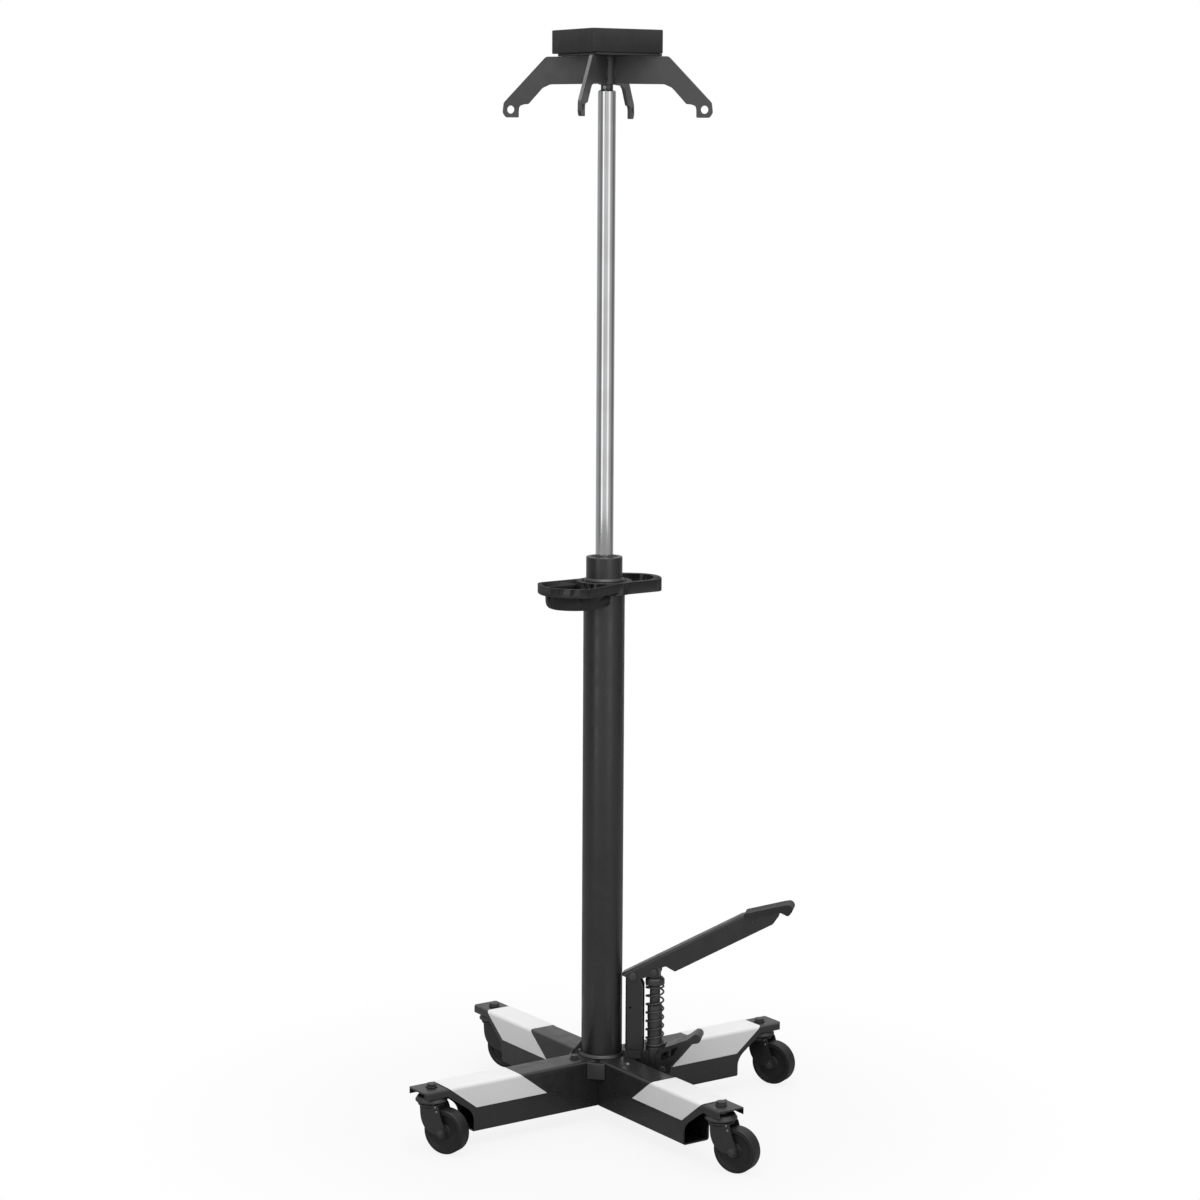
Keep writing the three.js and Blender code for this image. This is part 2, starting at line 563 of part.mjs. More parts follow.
const squareBlock = (side, z0, z1, round) => layer(roundedRect(side, side, round), z0, z1, 3).rotateZ(Math.PI / 4);
add('saddle_support_plate', squareBlock(SUPPORT_SIDE, ARM_TOP, supportTop, SUPPORT_CORNER)
  .translate(...SUPPORT_SHIFT, 0), paint(), saddle);
add('saddle_pad', squareBlock(PAD_SIDE, supportTop + GAP, TOTAL_HEIGHT, PAD_CORNER), rubber(), saddle);
add('saddle_set_screw', disc(SET_SCREW.radius, SET_SCREW.from, SET_SCREW.to, 12).rotateX(Math.PI / 2)
  .translate(0, 0, SET_SCREW.z), zincSteel(), saddle);

// ---------- foot pump ----------
const centred = (x0, x1, width, z0, z1) => block(x0, x1, -width / 2, width / 2, z0, z1);

function pumpBlock() {
  const foot = centred(BLOCK_FOOT.x0, BLOCK_FOOT.x1, BLOCK_FOOT.width, LEG_TOP + GAP, BLOCK_TOP);
  const neck = centred(BLOCK_NECK.x0, PUMP_X, BLOCK_NECK.width, LEG_TOP - BLOCK_NECK.drop, BLOCK_TOP);
  const boss = disc(BOSS.radius, BOSS.bottom, PUMP_SEAT, 28).translate(PUMP_X, 0, 0);
  const lug = centred(PUMP_X, RELEASE_LUG.end, RELEASE_LUG.width, BOSS.bottom, RELEASE_LUG.top);
  const barrelBore = disc(BARREL_RADIUS + GAP, BARREL_FOOT, PUMP_SEAT + OVERLAP, 32).translate(PUMP_X, 0, 0);
  const pinBore = crossPin(RELEASE_PIN.radius + GAP, RELEASE_PIVOT.x, RELEASE_PIVOT.z, -30, 30, 16);
  const plungerFloor = PLUNGER.foot - PLUNGER.travel - GAP;
  const plungerBore = disc(PLUNGER.radius + GAP, plungerFloor, RELEASE_LUG.top + OVERLAP, 16)
    .translate(PLUNGER.x, 0, 0);
  return cut(join(foot, neck, boss, lug), barrelBore, pinBore, plungerBore);
}
add('pump_block', pumpBlock(), paint());

function pumpBarrel() {
  const bore = PUMP_ROD_RADIUS + GAP;
  const foot = BARREL_FOOT + GAP;
  return turned([
    [bore, foot], [BARREL_RADIUS, foot], [BARREL_RADIUS, BARREL_TOP - 1], [BARREL_RADIUS - 1, BARREL_TOP],
    [bore, BARREL_TOP], [bore, foot],
  ], 24).translate(PUMP_X, 0, 0);
}
add('pump_barrel', pumpBarrel(), darkSteel());

// The pump rod with its flat-sided eye.
const capTop = CAP_BOTTOM + CAP_HEIGHT;
function pumpRod() {
  const [left, right] = [PUMP_X - PUMP_ROD_RADIUS, PUMP_X + PUMP_ROD_RADIUS];
  const eye = new THREE.Shape();
  eye.moveTo(left, capTop + GAP);
  eye.lineTo(right, capTop + GAP);
  eye.absarc(PUMP_X, PEDAL_ROD_PIN.z, PUMP_ROD_RADIUS, 0, Math.PI);
  eye.closePath();
  const stalk = disc(PUMP_ROD_RADIUS, PUMP_ROD_FOOT, capTop + GAP + OVERLAP, 28).translate(PUMP_X, 0, 0);
  const tongue = wall(eye, -ROD_TONGUE / 2, ROD_TONGUE / 2, 8);
  return cut(join(stalk, tongue), crossPin(ROD_PIN.radius + GAP, PEDAL_ROD_PIN.x, PEDAL_ROD_PIN.z, -20, 20));
}
add('pump_rod', pumpRod(), darkSteel());

const capBore = PUMP_ROD_RADIUS + GAP;
add('spring_cap', turned([
  [capBore, CAP_BOTTOM], [CAP.foot, CAP_BOTTOM], [CAP.radius, CAP_BOTTOM + CAP.round],
  [CAP.radius, capTop - CAP.chamfer], [CAP.top, capTop], [capBore, capTop], [capBore, CAP_BOTTOM],
], 24).translate(PUMP_X, 0, 0), darkSteel());

class Helix extends THREE.Curve {
  constructor(radius, z0, z1, turns) {
    super();
    Object.assign(this, { radius, z0, z1, turns });
  }
  getPoint(t) {
    const angle = t * this.turns * 2 * Math.PI;
    const z = THREE.MathUtils.lerp(this.z0, this.z1, t);
    return new THREE.Vector3(this.radius * Math.cos(angle), this.radius * Math.sin(angle), z);
  }
}

function coilSpring(radius, wire, z0, z1, turns) {
  const section = new THREE.Shape();
  section.absarc(0, 0, wire, 0, 2 * Math.PI);
  const path = new Helix(radius, z0 + wire, z1 - wire, turns);
  return new THREE.ExtrudeGeometry(section, { steps: Math.round(turns * 12), extrudePath: path, curveSegments: 3 });
}
const springGap = 2 * GAP;
add('return_spring',
  coilSpring(SPRING_RADIUS, SPRING_WIRE, PUMP_SEAT + springGap, CAP_BOTTOM - springGap, SPRING_TURNS)
  .translate(PUMP_X, 0, 0), darkSteel());

function headedPin({ radius, head }, pivot, halfLength) {
  const headHeight = 3;
  const shank = crossPin(radius, pivot.x, pivot.z, -halfLength, halfLength);
  const heads = [-halfLength - headHeight, halfLength].map(
    (y) => crossPin(head, pivot.x, pivot.z, y, y + headHeight));
  return join(shank, ...heads);
}
const pedalHalf = PEDAL_WIDTH / 2;
add('pump_rod_pin', headedPin(ROD_PIN, PEDAL_ROD_PIN, pedalHalf + GAP), darkSteel());
add('pedal_pivot_pin', headedPin(PIVOT_PIN, PEDAL_PIVOT, pedalHalf + GAP), darkSteel());

// The upright bracket, folded to a channel that is open towards the pump, with rounded ears for the pedal's pin.
function supportBracket() {
  const [x0, x1] = BRACKET_X;
  const side = new THREE.Shape();
  side.moveTo(x0, BLOCK_TOP + GAP);
  side.lineTo(x1, BLOCK_TOP + GAP);
  side.lineTo(x1, BRACKET_SHOULDER[1]);
  side.absarc(PEDAL_PIVOT.x, PEDAL_PIVOT.z, BRACKET_EAR, 0, Math.PI);
  side.lineTo(x0, BRACKET_SHOULDER[0]);
  side.closePath();
  const inner = BRACKET_WIDTH - 2 * BRACKET_SHEET;
  return cut(wall(side, -BRACKET_WIDTH / 2, BRACKET_WIDTH / 2, 6),
    centred(x0 + BRACKET_SHEET, x1 + OVERLAP, inner, BLOCK_TOP, PEDAL_PIVOT.z + 2 * BRACKET_EAR),
    centred(x0 - OVERLAP, x1 + OVERLAP, inner, BRACKET_SADDLE, PEDAL_PIVOT.z + 2 * BRACKET_EAR),
    crossPin(PIVOT_PIN.radius + GAP, PEDAL_PIVOT.x, PEDAL_PIVOT.z, -20, 20),
    crossPin(BRACKET_HOLE.radius, BRACKET_HOLE.x, BRACKET_HOLE.z, -20, 0, 12));
}
add('support_bracket', supportBracket(), paint());

// ---------- pump pedal, drawn in its own frame: X along the web, Z up from the web's outer face ----------
const pedal = new THREE.Group();
pedal.position.set(PEDAL_TIP.x, 0, PEDAL_TIP.z);
pedal.rotation.y = -PEDAL_TILT;
jack.add(pedal);

function inPedal({ x, z }) {
  const [dx, dz] = [x - PEDAL_TIP.x, z - PEDAL_TIP.z];
  return {
    x: dx * Math.cos(PEDAL_TILT) + dz * Math.sin(PEDAL_TILT),
    z: dz * Math.cos(PEDAL_TILT) - dx * Math.sin(PEDAL_TILT),
  };
}

function pumpPedal() {
  const pivot = inPedal(PEDAL_PIVOT);
  const rodPin = inPedal(PEDAL_ROD_PIN);
  const side = new THREE.Shape();
  side.moveTo(0, 0);
  side.lineTo(0, -PEDAL_SHEET);
  side.absarc(pivot.x, pivot.z, 9, Math.PI, Math.PI * 1.7 - PEDAL_TILT);
  side.absarc(rodPin.x, rodPin.z, 10.5, Math.PI * 1.25 - PEDAL_TILT, Math.PI * 2.1);
  side.lineTo(80.3, -22.7);
  side.lineTo(90.8, -PEDAL_DEPTH);
  side.lineTo(292.7, -PEDAL_DEPTH);
  side.lineTo(310, -29.6);
  side.lineTo(PEDAL_NOSE.x, PEDAL_NOSE.z - PEDAL_SHEET);
  side.lineTo(PEDAL_NOSE.x, PEDAL_NOSE.z);
  side.lineTo(PEDAL_BEND, 0);
  side.closePath();
  const inside = shapeOf([
    [-10, -PEDAL_SHEET], [PEDAL_BEND, -PEDAL_SHEET], [PEDAL_NOSE.x + 1, PEDAL_NOSE.z - PEDAL_SHEET],
    [PEDAL_NOSE.x + 1, -60], [-10, -60],
  ]);
  const innerHalf = pedalHalf - PEDAL_SHEET;
  return cut(wall(side, -pedalHalf, pedalHalf, 8), wall(inside, -innerHalf, innerHalf),
    crossPin(PIVOT_PIN.radius + GAP, pivot.x, pivot.z, -30, 30),
    crossPin(ROD_PIN.radius + ROD_PIN.play, rodPin.x, rodPin.z, -30, 30));
}
add('pump_pedal', pumpPedal(), paint(), pedal);

// The foot pad: a moulding that caps the pedal's nose, with skirts down its sides and a short hooked lip.
function pedalPad() {
  const fall = PEDAL_NOSE.z / (PEDAL_NOSE.x - PEDAL_BEND);
  const web = (x) => fall * (x - PEDAL_BEND);
  const [heel, crown] = [PAD.start + 7, PAD_LIP.end - 12];
  const shape = new THREE.Shape();
  shape.moveTo(PAD.start, web(PAD.start) - PAD.skirt);
  shape.lineTo(PAD.start, web(PAD.start));
  shape.quadraticCurveTo(PAD.start + 1, web(PAD.start) + PAD.thickness, heel, web(heel) + PAD.thickness);
  shape.lineTo(crown, web(crown) + PAD.thickness);
  shape.quadraticCurveTo(PAD_LIP.end + 1, web(PAD_LIP.end) + 2, PAD_LIP.end, -28);
  shape.quadraticCurveTo(PAD_LIP.end - 3, -35, ...PAD_LIP.chin);
  shape.lineTo(...PAD_LIP.inner);
  shape.lineTo(...PAD_LIP.root);
  shape.closePath();
  const noseEnd = PEDAL_NOSE.x + PAD.clear;
  const core = shapeOf([
    [PEDAL_BEND, PAD.clear], [noseEnd, PEDAL_NOSE.z + PAD.clear], [noseEnd, -PEDAL_DEPTH], [PEDAL_BEND, -PEDAL_DEPTH],
  ]);
  const coreHalf = pedalHalf + GAP;
  return cut(wall(shape, -PAD.width / 2, PAD.width / 2, 6), wall(core, -coreHalf, coreHalf));
}
add('pedal_pad', pedalPad(), rubber(), pedal);

// ---------- release pedal ----------
const releaseHalf = RELEASE_WIDTH / 2;

// A folded channel with a window in its near cheek; the cheeks reach down to the pivot.
function releasePedal() {
  const side = new THREE.Shape();
  side.moveTo(104, 121.5);
  side.lineTo(117, 134.3);
  side.lineTo(172, 154.8);
  side.quadraticCurveTo(186.5, 160, 185, 149);
  side.lineTo(177, 141);
  side.lineTo(170, 144.5);
  side.lineTo(134.5, 104);
  side.quadraticCurveTo(131, 96, RELEASE_PIVOT.x + RELEASE_EYE, RELEASE_PIVOT.z);
  side.absarc(RELEASE_PIVOT.x, RELEASE_PIVOT.z, RELEASE_EYE, 0, -Math.PI, true);
  side.lineTo(103, 109);
  side.closePath();
  const inside = shapeOf([
    [98, 60], [98, 120], [117, 131], [172, 152.3], [176, 146], [172, 138], [176, 125], [176, 60],
  ]);
  const inner = RELEASE_WIDTH - 2 * RELEASE_SHEET;
  const window = shapeOf([[105, 118.5], [143, 137.5], [133, 120.4], [122, 113.5], [110.5, 110.4]]);
  return cut(wall(side, -releaseHalf, releaseHalf, 8), wall(inside, -inner / 2, inner / 2),
    wall(window, -releaseHalf - OVERLAP, 0),
    crossPin(RELEASE_PIN.radius + GAP, RELEASE_PIVOT.x, RELEASE_PIVOT.z, -30, 30, 16),
    centred(90, RELEASE_WEB_START, inner, 80, 150));
}
add('release_pedal', releasePedal(), paint());
add('release_pivot_pin', headedPin(RELEASE_PIN, RELEASE_PIVOT, releaseHalf + GAP), darkSteel());
add('release_plunger', join(
  disc(PLUNGER.radius, PLUNGER.foot, PLUNGER.headFoot + OVERLAP, 16),
  disc(PLUNGER.head, PLUNGER.headFoot, PLUNGER.top, 16)).translate(PLUNGER.x, 0, 0), darkSteel());

jack.position.z = -legBottom;

export default jack;
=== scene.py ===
"""Visual model of a vertical hydraulic telescopic jack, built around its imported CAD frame.

Shapes are drawn in millimetres above a datum just over the floor, and place() turns them into metres in the row
frame.
Pieces are placed from the CAD nodes' boxes and from the joints' pivots.
"""
import json
import math

import bmesh
import bpy
from mathutils import Matrix, Vector

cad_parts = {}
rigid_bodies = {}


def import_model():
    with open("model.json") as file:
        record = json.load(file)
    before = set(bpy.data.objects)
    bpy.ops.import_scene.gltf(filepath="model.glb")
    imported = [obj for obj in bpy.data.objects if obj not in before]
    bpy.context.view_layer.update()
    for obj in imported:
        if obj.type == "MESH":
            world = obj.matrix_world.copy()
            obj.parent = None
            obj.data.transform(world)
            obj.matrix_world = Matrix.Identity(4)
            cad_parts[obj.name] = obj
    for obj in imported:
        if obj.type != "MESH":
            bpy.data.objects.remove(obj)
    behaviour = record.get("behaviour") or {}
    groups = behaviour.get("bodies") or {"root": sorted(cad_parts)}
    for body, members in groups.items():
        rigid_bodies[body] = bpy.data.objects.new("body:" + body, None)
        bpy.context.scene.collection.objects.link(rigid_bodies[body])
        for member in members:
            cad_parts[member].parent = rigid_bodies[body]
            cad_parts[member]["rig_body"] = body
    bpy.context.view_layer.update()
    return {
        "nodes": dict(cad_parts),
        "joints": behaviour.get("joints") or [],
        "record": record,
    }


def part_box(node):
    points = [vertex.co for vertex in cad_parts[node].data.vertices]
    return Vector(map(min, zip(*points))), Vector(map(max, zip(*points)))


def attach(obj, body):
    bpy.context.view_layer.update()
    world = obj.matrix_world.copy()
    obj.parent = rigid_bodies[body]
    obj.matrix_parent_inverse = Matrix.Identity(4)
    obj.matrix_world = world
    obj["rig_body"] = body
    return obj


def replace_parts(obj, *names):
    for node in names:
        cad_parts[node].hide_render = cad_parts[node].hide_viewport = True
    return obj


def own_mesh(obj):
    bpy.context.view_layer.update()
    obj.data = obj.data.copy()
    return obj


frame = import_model()

# ---------- frame, units and directions ----------
MM = 0.001
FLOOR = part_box("caster_wheel_front_left")[0].z
DATUM = FLOOR + 2.0 * MM              # the level from which the heights below are measured
GAP = 0.3                             # space between neighbouring pieces
LEG_TURNS = {"front_left": -135.0, "front_right": -45.0, "rear_right": 45.0, "rear_left": 135.0}
SADDLE_TURN = -4.1
TRAY_TURN = 56.0
CASTER_TURN = -20.5
SLOTS = {row["node"]: row["material_slot"] for row in frame["record"]["subparts"]}
PIVOTS = {
    joint["name"]: Vector(joint["pos_m"]) / MM - Vector((0.0, 0.0, DATUM / MM))
    for joint in frame["joints"] if "pos_m" in joint
}


def span(node, turn=0.0):
    """A CAD node's lowest and highest corners in mm above the datum, in a frame turned about Z."""
    shift = Matrix.Translation((0.0, 0.0, DATUM / MM))
    undo = (shift @ Matrix.Rotation(math.radians(turn), 4, "Z")).inverted()
    points = [undo @ (v.co / MM) for v in frame["nodes"][node].data.vertices]
    axes = list(zip(*points))
    return Vector(map(min, axes)), Vector(map(max, axes))


# ---------- outlines ----------
def arc(x, y, radius, start, end, steps=16):
    """Points of an arc, with the angles in degrees."""
    angles = [math.radians(start + (end - start) * i / steps) for i in range(steps + 1)]
    return [(x + radius * math.cos(a), y + radius * math.sin(a)) for a in angles]


def curve(a, control, b, steps=16):
    """Points of a quadratic curve from a to b."""
    result = []
    for i in range(steps + 1):
        t = i / steps
        weights = ((1 - t) ** 2, 2 * t * (1 - t), t * t)
        result.append(tuple(sum(w * p[k] for w, p in zip(weights, (a, control, b))) for k in (0, 1)))
    return result


def outline(corners, steps=5):
    """A closed outline from (x, y) or (x, y, radius) corners; a corner with a radius is rounded."""
    result = []
    for i, corner in enumerate(corners):
        here = Vector(corner[:2])
        if len(corner) == 2:
            result.append(here)
            continue
        back = Vector(corners[i - 1][:2]) - here
        ahead = Vector(corners[(i + 1) % len(corners)][:2]) - here
        half = back.angle(ahead) / 2
        reach = min(corner[2] / math.tan(half), 0.49 * back.length, 0.49 * ahead.length)
        centre = here + (back.normalized() + ahead.normalized()).normalized() * (reach / math.cos(half))
        first = here + back.normalized() * reach - centre
        last = here + ahead.normalized() * reach - centre
        start = math.atan2(first.y, first.x)
        turn = (math.atan2(last.y, last.x) - start + math.pi) % (2 * math.pi) - math.pi
        for k in range(steps + 1):
            angle = start + turn * k / steps
            result.append(centre + first.length * Vector((math.cos(angle), math.sin(angle))))
    return result


def rectangle(x0, x1, y0, y1, radius):
    return outline([(x0, y0, radius), (x1, y0, radius), (x1, y1, radius), (x0, y1, radius)], 8)


def soft(points, radius=0.6):
    """The same corners, slightly rounded unless they have their own radius or lie on a turned part's axis."""
    return [p if len(p) == 3 or p[0] == 0 else (*p, radius) for p in points]


# ---------- solids, all as bmesh in millimetres ----------
WELD_STEP = 0.65                      # length of the short pieces that a weld bead is made of


def closed(bm):
    bmesh.ops.remove_doubles(bm, verts=bm.verts, dist=1e-5)
    bmesh.ops.recalc_face_normals(bm, faces=bm.faces)
    return bm


def loft(rings):
    """A solid through rings of equally many points, with flat ends."""
    bm = bmesh.new()
    loops = [[bm.verts.new(p) for p in ring] for ring in rings]
    bm.faces.new(loops[0])
    bm.faces.new(list(reversed(loops[-1])))
    for lower, upper in zip(loops, loops[1:]):
        for i in range(len(lower)):
            bm.faces.new((lower[i - 1], lower[i], upper[i], upper[i - 1]))
    return closed(bm)


def prism(points, low, high, axis="Z"):
    """A solid between low and high along an axis, from an outline in the other two axes."""
    to_3d = {
        "X": lambda p, h: (h, p[0], p[1]),
        "Y": lambda p, h: (p[0], h, p[1]),
        "Z": lambda p, h: (p[0], p[1], h),
    }[axis]
    return loft([[to_3d(p, height) for p in points] for height in (low, high)])


def turned(corners, segments=72, radius=0.6):
    """A body of revolution about Z from (radius, height) corners; a solid one starts and ends on the axis."""
    solid = corners[0][0] == 0
    profile = outline(soft(corners, radius), 4)
    bm = bmesh.new()
    loops = []
    for r, z in profile:
        if solid and r < 1e-6:
            loops.append([bm.verts.new((0.0, 0.0, z))])
        else:
            angles = [2 * math.pi * i / segments for i in range(segments)]
            loops.append([bm.verts.new((r * math.cos(a), r * math.sin(a), z)) for a in angles])
    pairs = list(zip(loops, loops[1:])) + ([] if solid else [(loops[-1], loops[0])])
    for lower, upper in pairs:
        for i in range(segments):
            if len(lower) == 1:
                bm.faces.new((lower[0], upper[i], upper[i - 1]))
            elif len(upper) == 1:
                bm.faces.new((lower[i - 1], lower[i], upper[0]))
            else:
                bm.faces.new((lower[i - 1], lower[i], upper[i], upper[i - 1]))
    return closed(bm)


def tube(radius, bore, low, high, edge=0.6, segments=72):
    return turned([(bore, low), (radius, low), (radius, high), (bore, high)], segments, edge)


def rod(radius, low, high, edge=0.6, segments=48):
    return turned([(0, low), (radius, low), (radius, high), (0, high)], segments, edge)


def moved(bm, x=0.0, y=0.0, z=0.0, turn=0.0):
    bm.transform(Matrix.Translation((x, y, z)) @ Matrix.Rotation(math.radians(turn), 4, "Z"))
    return bm


def laid(bm, x, z):
    """Lays a shape drawn about Z along Y, with its axis through (x, z)."""
    bm.transform(Matrix.Translation((x, 0.0, z)) @ Matrix.Rotation(math.radians(-90), 4, "X"))
    return bm


def cross_rod(radius, x, z, y0, y1, edge=0.6):
    return laid(rod(radius, y0, y1, edge), x, z)


def combine(how, first, *others):
    """first UNION, DIFFERENCE or INTERSECT each of the others in turn."""
    work = []
    for bm in (first, *others):
        mesh = bpy.data.meshes.new("work")
        bm.to_mesh(mesh)
        bm.free()
        work.append(bpy.data.objects.new("work", mesh))
        bpy.context.scene.collection.objects.link(work[-1])
    for tool in work[1:]:
        modifier = work[0].modifiers.new("boolean", "BOOLEAN")
        modifier.operation = how
        modifier.solver = "EXACT"
        modifier.object = tool
    bpy.context.view_layer.update()
    evaluated = work[0].evaluated_get(bpy.context.evaluated_depsgraph_get())
    result = bmesh.new()
    result.from_mesh(evaluated.to_mesh())
    evaluated.to_mesh_clear()
    for obj in work:
        mesh = obj.data
        bpy.data.objects.remove(obj)
        bpy.data.meshes.remove(mesh)
    return result


def union(first, *others):
    return combine("UNION", first, *others)


def cut(first, *others):
    return combine("DIFFERENCE", first, *others)


def common(first, *others):
    return combine("INTERSECT", first, *others)


def sweep(points, radius, sides=12):
    """A round bar through 3-D points; radius is a number or a function of the point's index."""
    bm = bmesh.new()
    loops = []
    up = Vector((0.0, 0.0, 1.0))
    for i, point in enumerate(points):
        ahead = (points[min(i + 1, len(points) - 1)] - points[max(i - 1, 0)]).normalized()
        side = ahead.cross(up).normalized() if abs(ahead.dot(up)) < 0.99 else Vector((1.0, 0.0, 0.0))
        other = side.cross(ahead)
        r = radius(i) if callable(radius) else radius
        angles = [2 * math.pi * k / sides for k in range(sides)]
        loops.append([bm.verts.new(point + r * (math.cos(a) * side + math.sin(a) * other)) for a in angles])
    bm.faces.new(loops[0])
    bm.faces.new(list(reversed(loops[-1])))
    for lower, upper in zip(loops, loops[1:]):
        for i in range(sides):
            bm.faces.new((lower[i - 1], lower[i], upper[i], upper[i - 1]))
    return closed(bm)


def hex_head(across, low, high, washer=0.0):
    """A hexagon bolt head with its turned chamfer, and a washer under it if asked for."""
    corner = across / 2 / math.cos(math.radians(30))
    chamfer = corner - across / 2 + 0.4
    hexagon = prism(arc(0, 0, corner, 0, 300, 5), low, high)
    cone = turned([(0, low - 1), (corner + 1, low - 1), (corner + 1, high - chamfer * 0.6),
                   (corner - chamfer, high), (0, high)], 48, 0.2)
    head = common(hexagon, cone)
    if washer:
        return union(head, rod(washer, low, low + 1.6, 0.3))
    return head


def weld_bead(points, radius):
    """A rippled bead along 3-D points, sunk half into what it joins."""
    path = []
    for a, b in zip(points, points[1:]):
        count = max(2, round((b - a).length / WELD_STEP))
        path += [a.lerp(b, i / count) for i in range(count)]
    path.append(points[-1])

    def ripple(i):
        ends = min(1.0, (min(i, len(path) - 1 - i) + 2) / 6)
        return radius * ends * (1.0 + 0.13 * math.sin(i * math.pi / 2) + 0.07 * math.sin(i * 1.7))
    return sweep(path, ripple, 10)


# ---------- materials ----------
def nodes_of(name):
    material = bpy.data.materials.new(name)
    material.use_nodes = True
    tree = material.node_tree
    return material, tree, tree.nodes["Principled BSDF"]


def add_node(tree, kind, inputs=(), **settings):
    node = tree.nodes.new(f"ShaderNode{kind}")
    for key, value in settings.items():
        setattr(node, key, value)
    for key, value in dict(inputs).items():
        if isinstance(value, bpy.types.NodeSocket):
            tree.links.new(value, node.inputs[key])
        else:
            node.inputs[key].default_value = value
    return node


def noise(tree, scale, detail=3.0, stretch=(1.0, 1.0, 1.0), roughness=0.5):
    """Noise in object space; features are about 1/scale metres across."""
    place = add_node(tree, "TexCoord").outputs["Object"]
    mapping = add_node(tree, "Mapping", {"Vector": place, "Scale": stretch})
    texture = add_node(tree, "TexNoise", {
        "Vector": mapping.outputs["Vector"], "Scale": scale, "Detail": detail, "Roughness": roughness})
    return texture.outputs["Fac"]


def ramp(tree, value, low, high, from_low=0.35, from_high=0.65):
    """Maps a 0 to 1 value onto low to high, with a smooth step between the two limits."""
    node = add_node(tree, "MapRange", {
        "Value": value, "From Min": from_low, "From Max": from_high, "To Min": low, "To Max": high},
        interpolation_type="SMOOTHSTEP")
    return node.outputs["Result"]


def blend_colors(tree, factor, first, second):
    mix = add_node(tree, "Mix", data_type="RGBA")
    for socket, value in ((mix.inputs[0], factor), (mix.inputs[6], first), (mix.inputs[7], second)):
        if isinstance(value, bpy.types.NodeSocket):
            tree.links.new(value, socket)
        elif socket is mix.inputs[0]:
            socket.default_value = value
        else:
            socket.default_value = (*value, 1.0) if len(value) == 3 else value
    return mix.outputs[2]


def edge_mask(tree, radius):
    """1 on outside edges and corners, 0 on flat faces."""
    bevel = add_node(tree, "Bevel", {"Radius": radius}, samples=4)
    true_normal = add_node(tree, "NewGeometry").outputs["Normal"]
    dot = add_node(tree, "VectorMath", {0: bevel.outputs["Normal"], 1: true_normal}, operation="DOT_PRODUCT")
    return ramp(tree, dot.outputs["Value"], 1.0, 0.0, 0.90, 0.995)


def bumped(tree, shader, layers):
    """Adds bump layers of (height socket, strength, distance in metres) one on the other."""
    last = None
    for height, strength, distance in layers:
        inputs = {"Height": height, "Strength": strength, "Distance": distance}
        if last is not None:
            inputs["Normal"] = last
        last = add_node(tree, "Bump", inputs).outputs["Normal"]
    tree.links.new(last, shader.inputs["Normal"])


def grey(value, tint=0.0):
    return (value * (1 - tint), value, value * (1 + tint))


def painted(name, base, worn, rough, grain=650.0, grain_strength=0.10):
    """Satin enamel over steel: orange peel, slow colour drift, edges rubbed a little lighter."""
    material, tree, shader = nodes_of(name)
    clouds = ramp(tree, noise(tree, 9.0), 0.0, 1.0)
    drift = blend_colors(tree, clouds, grey(base * 0.9), grey(base * 1.12, 0.01))
    rubbed = add_node(tree, "Math", {
        0: edge_mask(tree, 0.0012), 1: ramp(tree, noise(tree, 130.0, 4.0), 0.2, 0.35)}, operation="MULTIPLY")
    color = blend_colors(tree, rubbed.outputs[0], drift, grey(worn))
    tree.links.new(color, shader.inputs["Base Color"])
    patches = ramp(tree, noise(tree, 38.0, 4.0), rough - 0.05, rough + 0.07)
    tree.links.new(patches, shader.inputs["Roughness"])
    shader.inputs["Specular IOR Level"].default_value = 0.8
    bumped(tree, shader, [
        (noise(tree, grain, 2.0), grain_strength, 0.00012), (noise(tree, 60.0, 2.0), 0.05, 0.0004)])
    return material


def metal(name, base, rough, stretch, grain=900.0, strength=0.12, metallic=1.0, tarnish=0.8):
    """Machined metal: fine tool marks along `stretch`, with a slow change of tone and polish."""
    material, tree, shader = nodes_of(name)
    marks = noise(tree, grain, 3.0, stretch, 0.65)
    patches = ramp(tree, noise(tree, 24.0, 4.0), 0.0, 1.0)
    tone = blend_colors(tree, patches, grey(base * tarnish), grey(base, 0.012))
    tone = blend_colors(tree, ramp(tree, marks, 0.0, 0.25, 0.5, 0.8), tone, grey(base * 0.7))
    tree.links.new(tone, shader.inputs["Base Color"])
    shader.inputs["Metallic"].default_value = metallic
    tree.links.new(ramp(tree, marks, rough, rough * 1.5, 0.3, 0.7), shader.inputs["Roughness"])
    bumped(tree, shader, [(marks, strength, 0.00006)])
    return material


